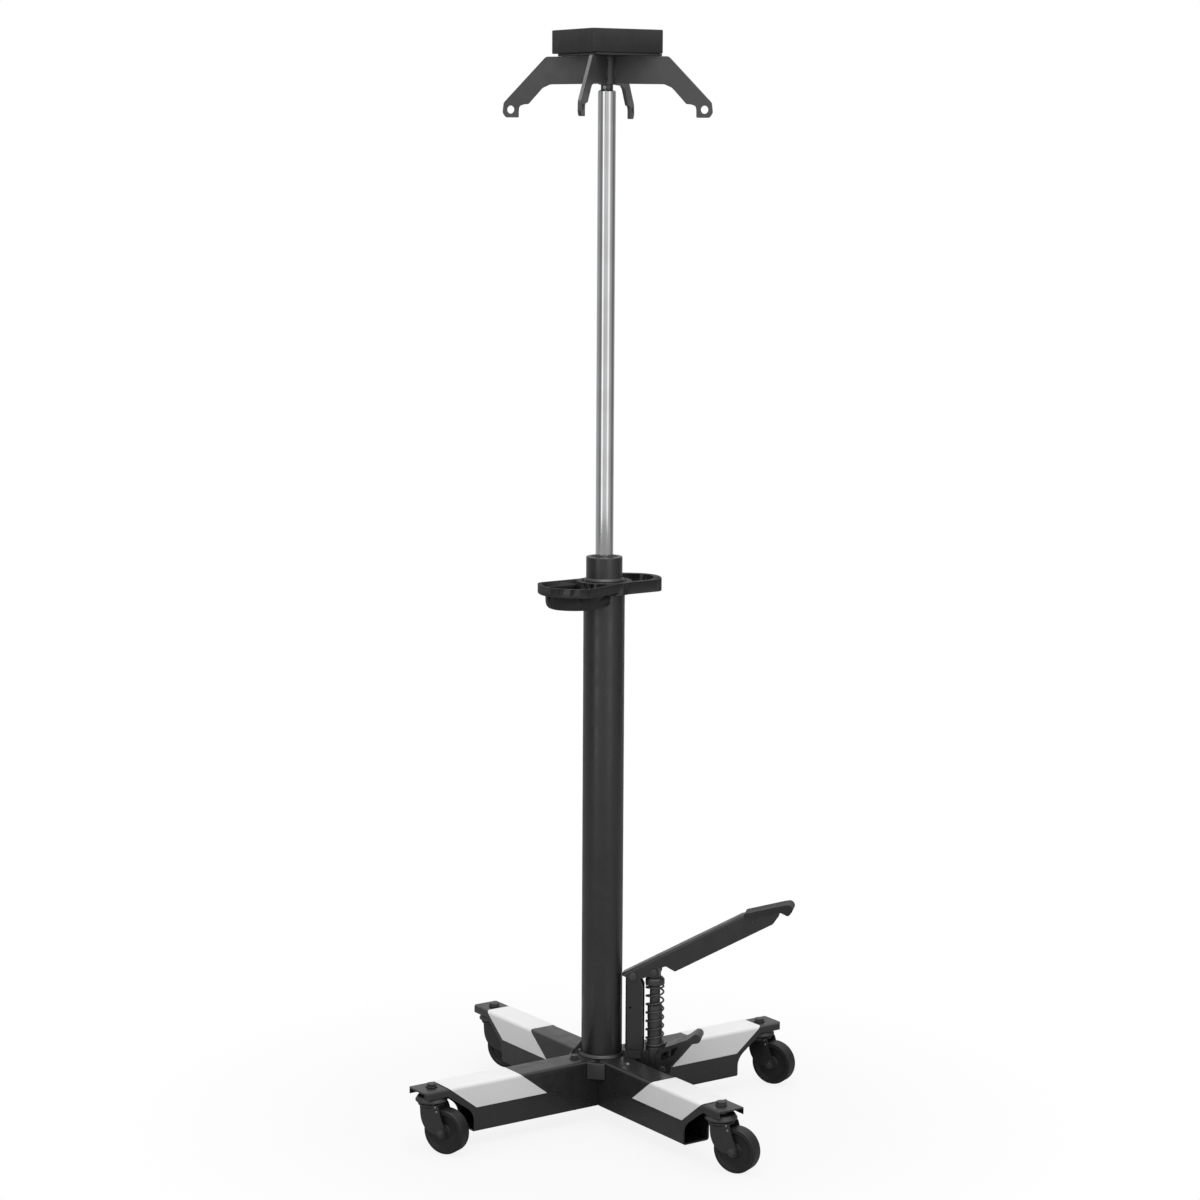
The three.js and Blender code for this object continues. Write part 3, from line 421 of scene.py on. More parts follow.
def moulded(name, base, rough, grain, strength, worn=None, sheen=0.0, shine=0.5):
    """Moulded plastic or rubber: a fine grain, a cloudy tone, and scuffed edges where worn is given."""
    material, tree, shader = nodes_of(name)
    clouds = ramp(tree, noise(tree, 16.0, 5.0), 0.0, 1.0)
    color = blend_colors(tree, clouds, grey(base * 0.86), grey(base * 1.15))
    if worn is not None:
        scuffs = ramp(tree, noise(tree, 210.0, 5.0), 0.0, 0.7)
        scuffed = add_node(tree, "Math", {0: edge_mask(tree, 0.0015), 1: scuffs}, operation="MULTIPLY")
        color = blend_colors(tree, scuffed.outputs[0], color, grey(worn))
    tree.links.new(color, shader.inputs["Base Color"])
    tree.links.new(ramp(tree, noise(tree, 45.0, 4.0), rough - 0.06, rough + 0.08), shader.inputs["Roughness"])
    shader.inputs["Sheen Weight"].default_value = sheen
    shader.inputs["Specular IOR Level"].default_value = shine
    cells = add_node(tree, "TexVoronoi", {
        "Vector": add_node(tree, "TexCoord").outputs["Object"], "Scale": grain}).outputs["Distance"]
    swell = noise(tree, grain * 0.4, 3.0)
    bumped(tree, shader, [(cells, strength, 0.00012), (swell, strength * 0.6, 0.0002)])
    return material


def film(name):
    """White adhesive marking: clean matte film with a faint fine grain, slightly greyed by handling."""
    material, tree, shader = nodes_of(name)
    smudges = ramp(tree, noise(tree, 14.0, 6.0), 0.0, 1.0, 0.45, 0.8)
    tree.links.new(blend_colors(tree, smudges, grey(0.93), grey(0.89)), shader.inputs["Base Color"])
    tree.links.new(ramp(tree, noise(tree, 50.0, 4.0), 0.5, 0.62), shader.inputs["Roughness"])
    bumped(tree, shader, [(noise(tree, 1400.0, 2.0), 0.05, 0.00005), (noise(tree, 40.0, 2.0), 0.05, 0.0003)])
    return material


MATERIALS = {
    "black_paint": painted("satin_black_enamel", 0.018, 0.075, 0.32),
    "dark_steel": metal("blackened_steel", 0.11, 0.36, (1.0, 1.0, 6.0), metallic=0.75),
    "bright_steel": metal("zinc_plated_steel", 0.42, 0.28, (1.0, 1.0, 5.0), tarnish=0.75),
    "chrome": metal("polished_ram_chrome", 0.82, 0.07, (1.0, 1.0, 30.0), 500.0, 0.035, tarnish=0.93),
    "white_marking": film("white_marking_film"),
    "black_plastic": moulded("grained_tray_plastic", 0.026, 0.58, 900.0, 0.07, 0.075, shine=0.35),
    "wheel_black": moulded("caster_wheel_polymer", 0.014, 0.48, 700.0, 0.10, 0.04),
    "black_rubber": moulded("matte_pad_rubber", 0.020, 0.66, 800.0, 0.25, 0.045, 0.05),
}
WELD = painted("painted_weld_bead", 0.034, 0.10, 0.34, 900.0, 0.35)
ARM_PAINT = painted("grey_black_arm_enamel", 0.050, 0.11, 0.42)


# ---------- placing pieces ----------
SHARP_ANGLE = 32.0                    # edges that turn by more than this stay sharp or are bevelled


def place(name, bm, body, material, slot, bevel=0.0, segments=3, sharp=SHARP_ANGLE):
    """Turns a bmesh in mm above the datum into an object in the row frame that rides on a CAD body."""
    bm.transform(Matrix.Translation((0.0, 0.0, DATUM)) @ Matrix.Scale(MM, 4))
    mesh = bpy.data.meshes.new(name)
    bm.to_mesh(mesh)
    bm.free()
    obj = bpy.data.objects.new(name, mesh)
    bpy.context.scene.collection.objects.link(obj)
    mesh.shade_smooth()
    mesh.materials.append(material)
    if bevel:
        add_bevel(obj, bevel, segments)
    else:
        mesh.set_sharp_from_angle(angle=math.radians(sharp))
    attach(obj, body)
    return obj


def add_bevel(obj, width, segments=3):
    modifier = obj.modifiers.new("edges", "BEVEL")
    modifier.width = width * MM
    modifier.segments = segments
    modifier.limit_method = "ANGLE"
    modifier.angle_limit = math.radians(SHARP_ANGLE)
    modifier.harden_normals = True
    modifier.miter_outer = "MITER_ARC"


def stand_in(node, bm, bevel=0.0, material=None, **settings):
    """A finished piece that stands for one CAD node, riding on that node's body and finished with the material
    of its slot.
    """
    slot = SLOTS[node]
    body = frame["nodes"][node]["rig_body"]
    piece = place(f"{node}_finished", bm, body, material or MATERIALS[slot], slot, bevel, **settings)
    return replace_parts(piece, node)


def extra(name, bm, like, material=None, slot=None):
    """A detail with no CAD node of its own. It moves like a CAD node, and by default is finished like it."""
    slot = slot or SLOTS[like]
    body = frame["nodes"][like]["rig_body"]
    return place(name, bm, body, material or MATERIALS[slot], slot)


def keep(node, bevel=0.5):
    """Shows a CAD node as it is, with eased edges and its material."""
    obj = frame["nodes"][node]
    obj.data.materials.clear()
    obj.data.materials.append(MATERIALS[SLOTS[node]])
    weld = obj.modifiers.new("weld", "WELD")
    weld.merge_threshold = 1e-6
    planar = obj.modifiers.new("planar", "DECIMATE")
    planar.decimate_type = "DISSOLVE"
    planar.angle_limit = math.radians(1.0)
    obj.data.shade_smooth()
    add_bevel(obj, bevel)


# ---------- base frame ----------
BEAM_LOW, BEAM_HIGH = span("long_leg_beam", LEG_TURNS["rear_right"])
REACH = BEAM_HIGH.x
HALF = BEAM_HIGH.y
BOTTOM = BEAM_LOW.z
TOP = BEAM_HIGH.z
WALL = 3.0
TUBE_CORNER = 5.5
END_CORNER = 8.0
LIP_BOTTOM = TOP - 13.5
ARCH_FOOT = (292.0, 43.0)             # where the arch's upright edge starts to bend
ARCH_KNEE = (307.0, 70.0)             # where the bend becomes the slope up to the lip
ARCH_TOP = 347.0
MARKING_SLANT = 57.5
BOLT_REACH = 60.0
CASTER_REACH = math.hypot(*PIVOTS["swivel_front_left"].xy)


def wheel_arch():
    """What is cut away over a wheel: an upright edge that bends into a slope, up to the lip's underside."""
    slope = (LIP_BOTTOM - ARCH_KNEE[1]) / (ARCH_TOP - ARCH_KNEE[0])
    control = (ARCH_FOOT[0], ARCH_KNEE[1] - slope * (ARCH_KNEE[0] - ARCH_FOOT[0]))
    side = [(ARCH_FOOT[0], BOTTOM - 1)] + curve(ARCH_FOOT, control, ARCH_KNEE, 14)
    side += [(ARCH_TOP, LIP_BOTTOM), (REACH + 1, LIP_BOTTOM), (REACH + 1, BOTTOM - 1)]
    return prism(side, -HALF - 1, HALF + 1, "Y")


def stem_hole(reach):
    return moved(rod(6.3, LIP_BOTTOM, TOP + 1), reach)


def leg_tube(start):
    """A leg along +X from start, open at both ends; when start is the far end it is the whole beam."""
    whole = start < 0
    section = rectangle(-HALF, HALF, BOTTOM, TOP, TUBE_CORNER)
    inside = rectangle(-HALF + WALL, HALF - WALL, BOTTOM + WALL, TOP - WALL, TUBE_CORNER - WALL)
    tools = [prism(inside, start - 1, REACH + 1, "X"), wheel_arch(), stem_hole(CASTER_REACH)]
    far = [(REACH, -HALF - 1, END_CORNER + 1), (REACH, HALF + 1, END_CORNER + 1)]
    if whole:
        near = [(-x, -y, r) for x, y, r in far]
        tools += [moved(wheel_arch(), turn=180), stem_hole(-CASTER_REACH)]
        tools += [moved(rod(5.3, BOTTOM - 1, TOP + 1), side * BOLT_REACH) for side in (-1, 1)]
    else:
        near = [(start - 1, HALF + 1), (start - 1, -HALF - 1)]
    plan = prism(outline(far + near, 6), BOTTOM - 1, TOP + 1)
    return cut(common(prism(section, start, REACH, "X"), plan), *tools)


stand_in("long_leg_beam", moved(leg_tube(-REACH), turn=LEG_TURNS["rear_right"]), 0.7)
for corner in ("front_right", "rear_left"):
    node = f"short_leg_{corner}"
    start = span(node, LEG_TURNS[corner])[0].x
    stand_in(node, moved(leg_tube(start), turn=LEG_TURNS[corner]), 0.7)


def marking_film(node, turn):
    """A thin film over a leg's top and both sides; its ends slant backwards down the sides."""
    low, high = span(node, turn)
    outer_y = high.y
    top = high.z
    drop = top - low.z
    length = high.x - low.x - MARKING_SLANT
    layers = []
    for depth in (0.0, 0.8):
        y = outer_y - depth
        z = top - depth
        radius = TUBE_CORNER + 1.1 - depth
        half_section = [(y, low.z)] + arc(y - radius, z - radius, radius, 0, 90, 8)
        layers.append(half_section + [(-p[0], p[1]) for p in reversed(half_section)])
    bm = bmesh.new()
    grid = []
    for layer in layers:
        rows = []
        for y, z in layer:
            x0 = high.x - length - MARKING_SLANT * max(0.0, top - z) / drop
            rows.append([bm.verts.new((x0 + length * k / 12, y, z)) for k in range(13)])
        grid.append(rows)
    for rows in grid:
        for a, b in zip(rows, rows[1:]):
            for k in range(12):
                bm.faces.new((a[k], a[k + 1], b[k + 1], b[k]))
    outer, inner = grid
    for a, b, c, d in list(zip(outer, outer[1:], inner[1:], inner)):
        for k in (0, 12):
            bm.faces.new((a[k], b[k], c[k], d[k]))
    for row in (0, len(outer) - 1):
        for k in range(12):
            bm.faces.new((outer[row][k], outer[row][k + 1], inner[row][k + 1], inner[row][k]))
    return moved(closed(bm), turn=turn)


for corner, turn in LEG_TURNS.items():
    stand_in(f"marking_sleeve_{corner}", marking_film(f"marking_sleeve_{corner}", turn))
for node in ("gusset_front", "gusset_rear", "gusset_left"):
    keep(node, 1.2)
for corner in ("front_left", "rear_right"):
    node = f"base_bolt_{corner}"
    low, high = span(node, LEG_TURNS[corner])
    head = hex_head(13.0, TOP + GAP, high.z - 1.5, 9.0)
    shank = rod(5.0, low.z, TOP + 1, 0.8)
    stand_in(node, moved(moved(union(head, shank), BOLT_REACH), turn=LEG_TURNS[corner]))

screw = turned([
    (0, TOP - 1), (4.2, TOP - 1), (4.2, TOP + 1.6, 0.8), (2.4, TOP + 1.8), (2.0, TOP + 0.6), (0, TOP + 0.6)])
extra("leg_plug_screw", moved(moved(screw, 83.0), turn=LEG_TURNS["front_right"]), "short_leg_front_right",
      slot="bright_steel")


# ---------- casters ----------
RACE_BOTTOM = 87.0
WHEEL_RADIUS = PIVOTS["roll_front_left"].z + (DATUM - FLOOR) / MM


def caster_frame(bm, corner):
    pivot = PIVOTS[f"swivel_{corner}"]
    return moved(moved(bm, turn=CASTER_TURN), pivot.x, pivot.y)


def stem(node):
    """Hex head and washer on the leg, shank, and the upper ball race under the lip."""
    low, high = span(node)
    race_low = RACE_BOTTOM
    race_top = LIP_BOTTOM - GAP
    head = hex_head(16.0, TOP + GAP, high.z - 2.3, 10.5)
    body = turned([
        (0, low.z), (6, low.z), (6, race_low), (25, race_low, 1), (28.5, race_low + 2.2, 1),
        (28.5, race_low + 4.4, 1), (24, race_top, 2.5), (11, race_top), (11, TOP - WALL - GAP),
        (6, TOP - WALL - GAP), (6, TOP + 1), (0, TOP + 1)], 64, 0.3)
    return union(head, body)


def fork():
    """Dished race cap and two tapered cheeks; the wheel trails along +X."""
    axle = PIVOTS["roll_front_left"] - PIVOTS["swivel_front_left"]
    trail = axle.xy.length
    height = PIVOTS["roll_front_left"].z
    race = RACE_BOTTOM - GAP
    cap = turned([
        (6.3, 78), (19, 78, 2), (24, 82.5, 2), (24, race - 1.5, 1), (20, race), (6.3, race)], 64, 0.4)
    eye = arc(trail, height, 10, 207, 396, 14)
    side = ([(-13, 81)] + curve((-12.4, 74), (-12, 34), eye[0]) + eye[1:]
            + curve(eye[-1], (31, 62), (25, 83))[1:] + [(23, race - 0.6), (10, race - 0.6)])
    cheeks = [prism(side, min(y), max(y), "Y") for y in ((-18, -15), (15, 18))]
    return cut(union(cap, *cheeks), cross_rod(4.3, trail, height, -40, 40))


def fork_rivets():
    """Two pairs of domed rivet heads on the outsides of the cheeks."""
    heads = []
    for x, z in ((19.8, 83.0), (22.4, 74.8)):
        heads += [cross_rod(2.2, x, z, low, low + 1.9, 0.9) for low in (-19.4, 17.5)]
    return union(*heads)


def wheel():
    """Flat tread with rounded shoulders, dished web with a stepped hub, drawn about Z."""
    radius = WHEEL_RADIUS
    half = [(4.3, 14), (8.6, 14, 1), (9.6, 11.2, 0.8), (12.2, 10.6, 0.8), (13.4, 8.6, 1.5), (28.8, 9.2, 2),
            (30.6, 11.8, 1), (33.0, 12.6, 0.5), (33.6, 11.9, 0.4), (34.2, 12.8, 0.5), (radius - 1.2, 12.9, 1.5),
            (radius, 10.6, 2.5), (radius, 0.8)]
    mirrored = [(p[0], -p[1], *p[2:]) for p in reversed(half)]
    return turned(half + mirrored, 96, 0.3)


def axle_bolt():
    """Axle with a hex head on one side and a lock nut on the other, drawn about Z."""
    out = 18.3
    head = hex_head(12.6, out, out + 5, 8.2)
    nut = moved(hex_head(12.6, 0, 4.8, 8.2), z=0)
    nut.transform(Matrix.Rotation(math.pi, 4, "X"))
    nut.transform(Matrix.Translation((0, 0, -out)))
    return union(rod(4.0, -out - 6, out + 1, 0.8), head, nut)


for corner, turn in LEG_TURNS.items():
    pivot = PIVOTS[f"swivel_{corner}"]
    trail = (PIVOTS[f"roll_{corner}"] - pivot).xy.length
    height = PIVOTS[f"roll_{corner}"].z
    stem_bm = stem(f"caster_stem_{corner}")
    stand_in(f"caster_stem_{corner}", moved(moved(stem_bm, turn=turn), pivot.x, pivot.y))
    stand_in(f"caster_fork_{corner}", caster_frame(fork(), corner), 0.5)
    rivets = caster_frame(fork_rivets(), corner)
    extra(f"fork_rivets_{corner}", rivets, f"caster_fork_{corner}", slot="bright_steel")
    stand_in(f"caster_wheel_{corner}", caster_frame(laid(wheel(), trail, height), corner), sharp=40.0)
    stand_in(f"caster_axle_{corner}", caster_frame(laid(axle_bolt(), trail, height), corner))

# ---------- column and ram ----------
COLUMN = span("column_tube")
COLUMN_RADIUS = COLUMN[1].x
stand_in("column_tube", tube(COLUMN_RADIUS, 33.0, COLUMN[0].z, COLUMN[1].z, 1.0, 128))
foot = span("column_foot_ring")
stand_in("column_foot_ring", turned([
    (COLUMN_RADIUS + GAP, foot[0].z), (foot[1].x, foot[0].z, 0.6), (COLUMN_RADIUS + 1.0, foot[1].z, 0.3),
    (COLUMN_RADIUS + GAP, foot[1].z)], 96, 0.3))
for node in ("column_base_plug", "pressure_tube", "ram_piston", "piston_seal"):
    keep(node, 0.4)

GLAND = span("gland_nut")
stand_in("gland_nut", turned([
    (16.1, GLAND[0].z), (32.7, GLAND[0].z, 1), (32.7, 985.3, 0.2), (36, 985.3, 0.6), (36, 987.2, 0.8),
    (32.5, 991.5, 1.2), (32.5, GLAND[1].z, 1.4), (24.5, GLAND[1].z, 0.8), (22.0, GLAND[1].z - 3.2, 0.6),
    (20.1, GLAND[1].z - 3.2, 0.2), (20.1, GLAND[1].z - 6, 0.2), (16.1, GLAND[1].z - 6, 0.3)], 128, 0.4))
seal = span("ram_wiper_seal")
stand_in("ram_wiper_seal", turned([
    (16.1, seal[0].z), (19.8, seal[0].z), (19.8, seal[1].z - 0.4), (17.6, seal[1].z - 0.8),
    (16.4, seal[1].z), (16.1, seal[1].z)], 96, 0.25))
RAM = span("ram")
ram_radius = RAM[1].x
stand_in("ram", turned([
    (0, RAM[0].z), (ram_radius, RAM[0].z), (ram_radius, RAM[1].z - 2.2, 0.4),
    (ram_radius - 2.0, RAM[1].z, 0.3),
    (10.2, RAM[1].z), (10.2, RAM[1].z - 50), (0, RAM[1].z - 50)], 128, 0.3))

# ---------- tool tray and handle, drawn with the handle along +X ----------
TRAY_LOW, TRAY_HIGH = span("tool_tray", TRAY_TURN)
TRAY_TOP = TRAY_HIGH.z
TRAY_RING = 50.0
TRAY_GROOVE = 40.5
TRAY_CORNER = (104.0, 64.0)
TRAY_END = 138.0
HANDLE_CORNER = (84.0, 61.0)
HANDLE_END = 123.0
HANDLE_BAND = 21.5
BOW_STEPS = 20


def flared(corner, end, inset, root, rounding=10.0):
    """Outline from a narrow root to a wide, bowed end with rounded corners; inset shrinks it evenly."""
    reach, half = corner[0] - inset, corner[1] - inset
    crown = 2 * (end - inset) - reach
    share = rounding / (2 * half)
    bow = []
    for i in range(BOW_STEPS + 1):
        t = share + (1 - 2 * share) * i / BOW_STEPS
        a, b, c = (1 - t) ** 2, 2 * t * (1 - t), t * t
        bow.append((a * reach + b * crown + c * reach, -a * half + c * half))
    side = Vector((reach, half - root)).normalized() * rounding
    before = (reach - side.x, -half + side.y)
    after = (reach - side.x, half - side.y)
    return ([(0.0, -root)] + curve(before, (reach, -half), bow[0], 6) + bow[1:-1]
            + curve(bow[-1], (reach, half), after, 6) + [(0.0, root)])


def facing(points, z):
    """The tray's side of the moulding lies along -X."""
    return [(-x, -y, z) for x, y in points]


def tray_ring(z, inset, root, rounding=10.0):
    return facing(flared(TRAY_CORNER, TRAY_END, inset, root, rounding), z)


def tool_tray():
    floor = TRAY_LOW.z
    band = loft([tray_ring(TRAY_TOP - 16, 0.6, 45.4), tray_ring(TRAY_TOP - 15.2, 0, 46),
                 tray_ring(TRAY_TOP, 0, 46)])
    bowl = loft([
        tray_ring(floor, 17, 24, 14), tray_ring(floor + 1.2, 14, 27, 12), tray_ring(floor + 4, 12, 29, 11),
        tray_ring(floor + 8, 11, 30, 10), tray_ring(TRAY_TOP - 14, 10, 31, 9)])
    hollow = loft([tray_ring(floor + 3, 19, 22, 12), tray_ring(floor + 4.4, 16.5, 24.5, 10),
                   tray_ring(floor + 8, 14.5, 26.5, 9), tray_ring(TRAY_TOP - 8.5, 13, 28, 8),
                   tray_ring(TRAY_TOP + 1, 12.5, 28.5, 8)])
    rim = loft([tray_ring(TRAY_TOP - 8, 5.6, 40.5, 5), tray_ring(TRAY_TOP + 1, 4.6, 41.5, 5)])
    loop = prism(flared(HANDLE_CORNER, HANDLE_END, 0, 46, 9), TRAY_TOP - HANDLE_BAND, TRAY_TOP)
    opening = prism(flared(HANDLE_CORNER, HANDLE_END, 12, 38, 9), TRAY_TOP - 40, TRAY_TOP + 1)
    collar = rod(TRAY_RING, TRAY_TOP - HANDLE_BAND, TRAY_TOP, 0, 96)
    below_bowl = moved(prism(flared(TRAY_CORNER, TRAY_END, 10, 31, 9), 0, TRAY_TOP - 14.5), turn=180)
    bowl_and_band = union(cut(band, below_bowl), bowl)
    solid = union(cut(bowl_and_band, hollow, rim), cut(loop, opening), collar)
    column = rod(COLUMN_RADIUS + GAP, floor - 5, TRAY_TOP + 5, 0, 96)
    clearance = rod(TRAY_GROOVE, floor - 5, TRAY_TOP - HANDLE_BAND, 0, 96)
    groove = rod(TRAY_GROOVE, TRAY_TOP - 4, TRAY_TOP + 5, 0, 96)
    return cut(solid, column, clearance, groove)


stand_in("tool_tray", moved(tool_tray(), turn=TRAY_TURN), 1.3, segments=3)

# ---------- saddle ----------
ARM_LOW, ARM_HIGH = span("saddle_arm_right", SADDLE_TURN)
HUB = span("saddle_hub")
NECK_TOP = 1858.0
NECK_RADIUS = 10.7
HUB_RADIUS = 15.0
stand_in("saddle_hub", turned([
    (0, HUB[0].z), (9.9, HUB[0].z), (9.9, RAM[1].z + GAP), (NECK_RADIUS, RAM[1].z + GAP, 0.4),
    (NECK_RADIUS, NECK_TOP, 0.5), (HUB_RADIUS, NECK_TOP, 1), (HUB_RADIUS, HUB[1].z), (0, HUB[1].z)], 96, 0.4))


def saddle_arm():
    """Flat top, sloping nose, and a lug with the adapter hole that hangs from its end."""
    top = ARM_HIGH.z
    tip = ARM_HIGH.x
    lug = ARM_LOW.z
    root = HUB_RADIUS + GAP
    side = outline([
        (root, top), (110, top, 10), (tip - 2, top - 79.5, 9), (tip, top - 96.7, 8), (tip - 5.6, lug, 6),
        (160.5, lug, 2), (160.5, top - 94), (159.5, top - 85, 7), (150, top - 82.4), (142.7, top - 82, 5),
        (116.8, top - 54, 14), (103, top - 48, 14), (root, top - 47)], 8)
    return cut(prism(side, ARM_LOW.y, ARM_HIGH.y, "Y"), cross_rod(7.0, 174.6, top - 91.5, -9, 9))


for quarter, name in enumerate(("right", "rear", "left", "front")):
    turn = SADDLE_TURN + 90 * quarter
    stand_in(f"saddle_arm_{name}", moved(saddle_arm(), turn=turn), 0.6, material=ARM_PAINT)
    for side in (-1, 1):
        points = [Vector((14.6, side * 3.6, ARM_HIGH.z - 44)), Vector((14.6, side * 3.6, ARM_HIGH.z - 5))]
        extra(f"arm_weld_{name}_{'a' if side < 0 else 'b'}", moved(weld_bead(points, 1.9), turn=turn),
              f"saddle_arm_{name}", WELD)

keep("saddle_support_plate", 0.8)
keep("saddle_pad", 1.6)
screw = span("saddle_set_screw", SADDLE_TURN)
socket = prism(arc(0, 0, 1.7, 0, 300, 5), -1, 2.5)
grub = cut(rod(3.0, 0, screw[1].y - screw[0].y, 0.5), socket)
grub.transform(Matrix.Translation((0, screw[0].y, (screw[0].z + screw[1].z) / 2)) @ Matrix.Rotation(
    math.radians(-90), 4, "X"))
stand_in("saddle_set_screw", moved(grub, turn=SADDLE_TURN))

# ---------- foot pump ----------
BARREL = span("pump_barrel")
PUMP_X = (BARREL[0].x + BARREL[1].x) / 2
BARREL_RADIUS = BARREL[1].x - PUMP_X
BLOCK = span("pump_block")
RELEASE_PIVOT = PIVOTS["release_swing"]
PEDAL_PIVOT = PIVOTS["pedal_swing"]
ROD = span("pump_rod")
ROD_RADIUS = ROD[1].x - PUMP_X
ROD_PIN = span("pump_rod_pin")
ROD_PIN_Z = (ROD_PIN[0].z + ROD_PIN[1].z) / 2
PLUNGER = span("release_plunger")
PLUNGER_X = (PLUNGER[0].x + PLUNGER[1].x) / 2


def pump_block():
    """Casting that sits on the base and carries the pump, with a lug for the release pedal."""
    foot_top = 126.0
    foot = prism(rectangle(43.6, 76, -22, 22, 3), TOP + GAP, foot_top)
    neck = prism(rectangle(66, PUMP_X, -14, 14, 2), TOP - 20, foot_top)
    boss = moved(turned([(0, 84), (16.5, 84, 2), (16.5, BLOCK[1].z, 1.5), (0, BLOCK[1].z)]), PUMP_X)
    lug = prism(rectangle(PUMP_X, BLOCK[1].x, -9, 9, 3), 84, 112)
    bores = [moved(rod(BARREL_RADIUS + GAP, 104, BLOCK[1].z + 1, 0), PUMP_X),
             cross_rod(4.3, RELEASE_PIVOT.x, RELEASE_PIVOT.z, -30, 30, 0),
             moved(rod(4.3, PLUNGER[0].z - 1.7, 115, 0), PLUNGER_X)]
    return cut(union(foot, neck, boss, lug), *bores)


stand_in("pump_block", pump_block(), 1.0)
rings = []
for z in (150.0, 166.0, 182.0):
    rings += [(BARREL_RADIUS, z - 1.6, 0.3), (BARREL_RADIUS - 0.9, z - 1.0, 0.3),
              (BARREL_RADIUS - 0.9, z + 1.0, 0.3), (BARREL_RADIUS, z + 1.6, 0.3)]
stand_in("pump_barrel", moved(turned(
    [(ROD_RADIUS + GAP, BARREL[0].z), (BARREL_RADIUS, BARREL[0].z)] + rings
    + [(BARREL_RADIUS, BARREL[1].z, 1.6), (ROD_RADIUS + GAP, BARREL[1].z)], 96, 0.3), PUMP_X))


def pump_rod():
    left, right = PUMP_X - ROD_RADIUS, PUMP_X + ROD_RADIUS
    eye = [(left, 250), (right, 250)] + arc(PUMP_X, ROD_PIN_Z, ROD_RADIUS, 0, 180, 24)
    tongue = prism(eye, -9, 9, "Y")
    stalk = moved(rod(ROD_RADIUS, ROD[0].z, 262, 0.8, 72), PUMP_X)
    trimmed = cut(tongue, moved(rod(40, 200, 261.6, 0), PUMP_X))
    return cut(union(stalk, trimmed), cross_rod(4.3, PUMP_X, ROD_PIN_Z, -20, 20))


stand_in("pump_rod", pump_rod(), 0.7)
CAP = span("spring_cap")
stand_in("spring_cap", moved(turned([
    (ROD_RADIUS + GAP, CAP[0].z), (16, CAP[0].z, 0.6), (17.5, CAP[0].z + 1.4, 0.6), (17.5, CAP[1].z - 4, 1),
    (14.5, CAP[1].z, 1), (ROD_RADIUS + GAP, CAP[1].z)], 96, 0.3), PUMP_X))
SPRING = span("return_spring")


def spring_coil():
    """Compression spring with closed, flattened end coils."""
    wire = 1.7
    radius = SPRING[1].x - PUMP_X - wire
    low, high = SPRING[0].z + wire, SPRING[1].z - wire
    turns = 8.5
    steps = 420
    dead = 0.85
    points = []
    for i in range(steps + 1):
        t = turns * i / steps
        rise = (min(max(t - dead, 0.0), turns - 2 * dead)) / (turns - 2 * dead)
        closing = wire * 0.9 * (min(t, dead) / dead + (t - (turns - dead)) / dead * (t > turns - dead))
        z = low + closing + rise * (high - low - 1.8 * wire)
        angle = 2 * math.pi * t
        points.append(Vector((PUMP_X + radius * math.cos(angle), radius * math.sin(angle), z)))
    return sweep(points, wire, 14)


spring = stand_in("return_spring", spring_coil(), sharp=60.0)
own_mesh(spring)


def headed_pin(radius, head, x, z, half):
    """A plain pin with a domed head at each end, along Y."""
    profile = [(0, -half - 3), (head, -half - 3, 1.2), (head, -half, 0.4), (radius, -half, 0.2),
               (radius, half, 0.2), (head, half, 0.4), (head, half + 3, 1.2), (0, half + 3)]
    return laid(turned(profile, 48, 0.3), x, z)


stand_in("pump_rod_pin", headed_pin(4, 6.5, PUMP_X, ROD_PIN_Z, 16.3))
stand_in("pedal_pivot_pin", headed_pin(4.5, 7.5, PEDAL_PIVOT.x, PEDAL_PIVOT.z, 16.3))
stand_in("release_pivot_pin", headed_pin(4, 6.5, RELEASE_PIVOT.x, RELEASE_PIVOT.z, 20.3))
BRACKET = span("support_bracket")


def support_bracket():
    """Sheet folded to a channel that is open towards the pump, with rounded ears for the pedal's pin."""
    x0, x1 = BRACKET[0].x, BRACKET[1].x
    half, sheet = BRACKET[1].y, 4.0
    low, high = BRACKET[0].z, BRACKET[1].z
    outer = prism(outline([(x1, -half), (x1, half), (x0, half, 5), (x0, -half, 5)], 8), low, high)
    inner = half - sheet
    channel = outline([(x1 + 1, -inner), (x1 + 1, inner), (x0 + sheet, inner, 2), (x0 + sheet, -inner, 2)])
    core = prism(channel, low - 1, high + 1)
    side = [(x0, low), (x1, low), (x1, 246)] + arc(
        PEDAL_PIVOT.x, PEDAL_PIVOT.z, 8, 0, 180, 20) + [(x0, 262)]
    notch = prism(rectangle(x0 - 1, x1 + 1, -inner, inner, 0.5), 248, 300)
    return cut(common(outer, prism(side, -half - 1, half + 1, "Y")), core, notch,
               cross_rod(4.8, PEDAL_PIVOT.x, PEDAL_PIVOT.z, -20, 20), cross_rod(2.0, 54.5, 204, -20, 0))


stand_in("support_bracket", support_bracket(), 0.5)

# ---------- pump pedal, drawn with X along its web and Z up from the web's outer face ----------
PEDAL_TILT = 28.8
PEDAL_START = Vector((PEDAL_PIVOT.x - 21.4, 0.0, PEDAL_PIVOT.z + 2.9))
PEDAL_FRAME = Matrix.Translation(PEDAL_START) @ Matrix.Rotation(math.radians(-PEDAL_TILT), 4, "Y")
PEDAL_SHEET = 3.0
PEDAL_HALF = 16.0
PEDAL_BEND = 246.0
NOSE = (316.0, -17.0)
WALL_DEPTH = -38.5


def in_pedal(x, z):
    local = PEDAL_FRAME.inverted() @ Vector((x, 0.0, z))
    return local.x, local.z


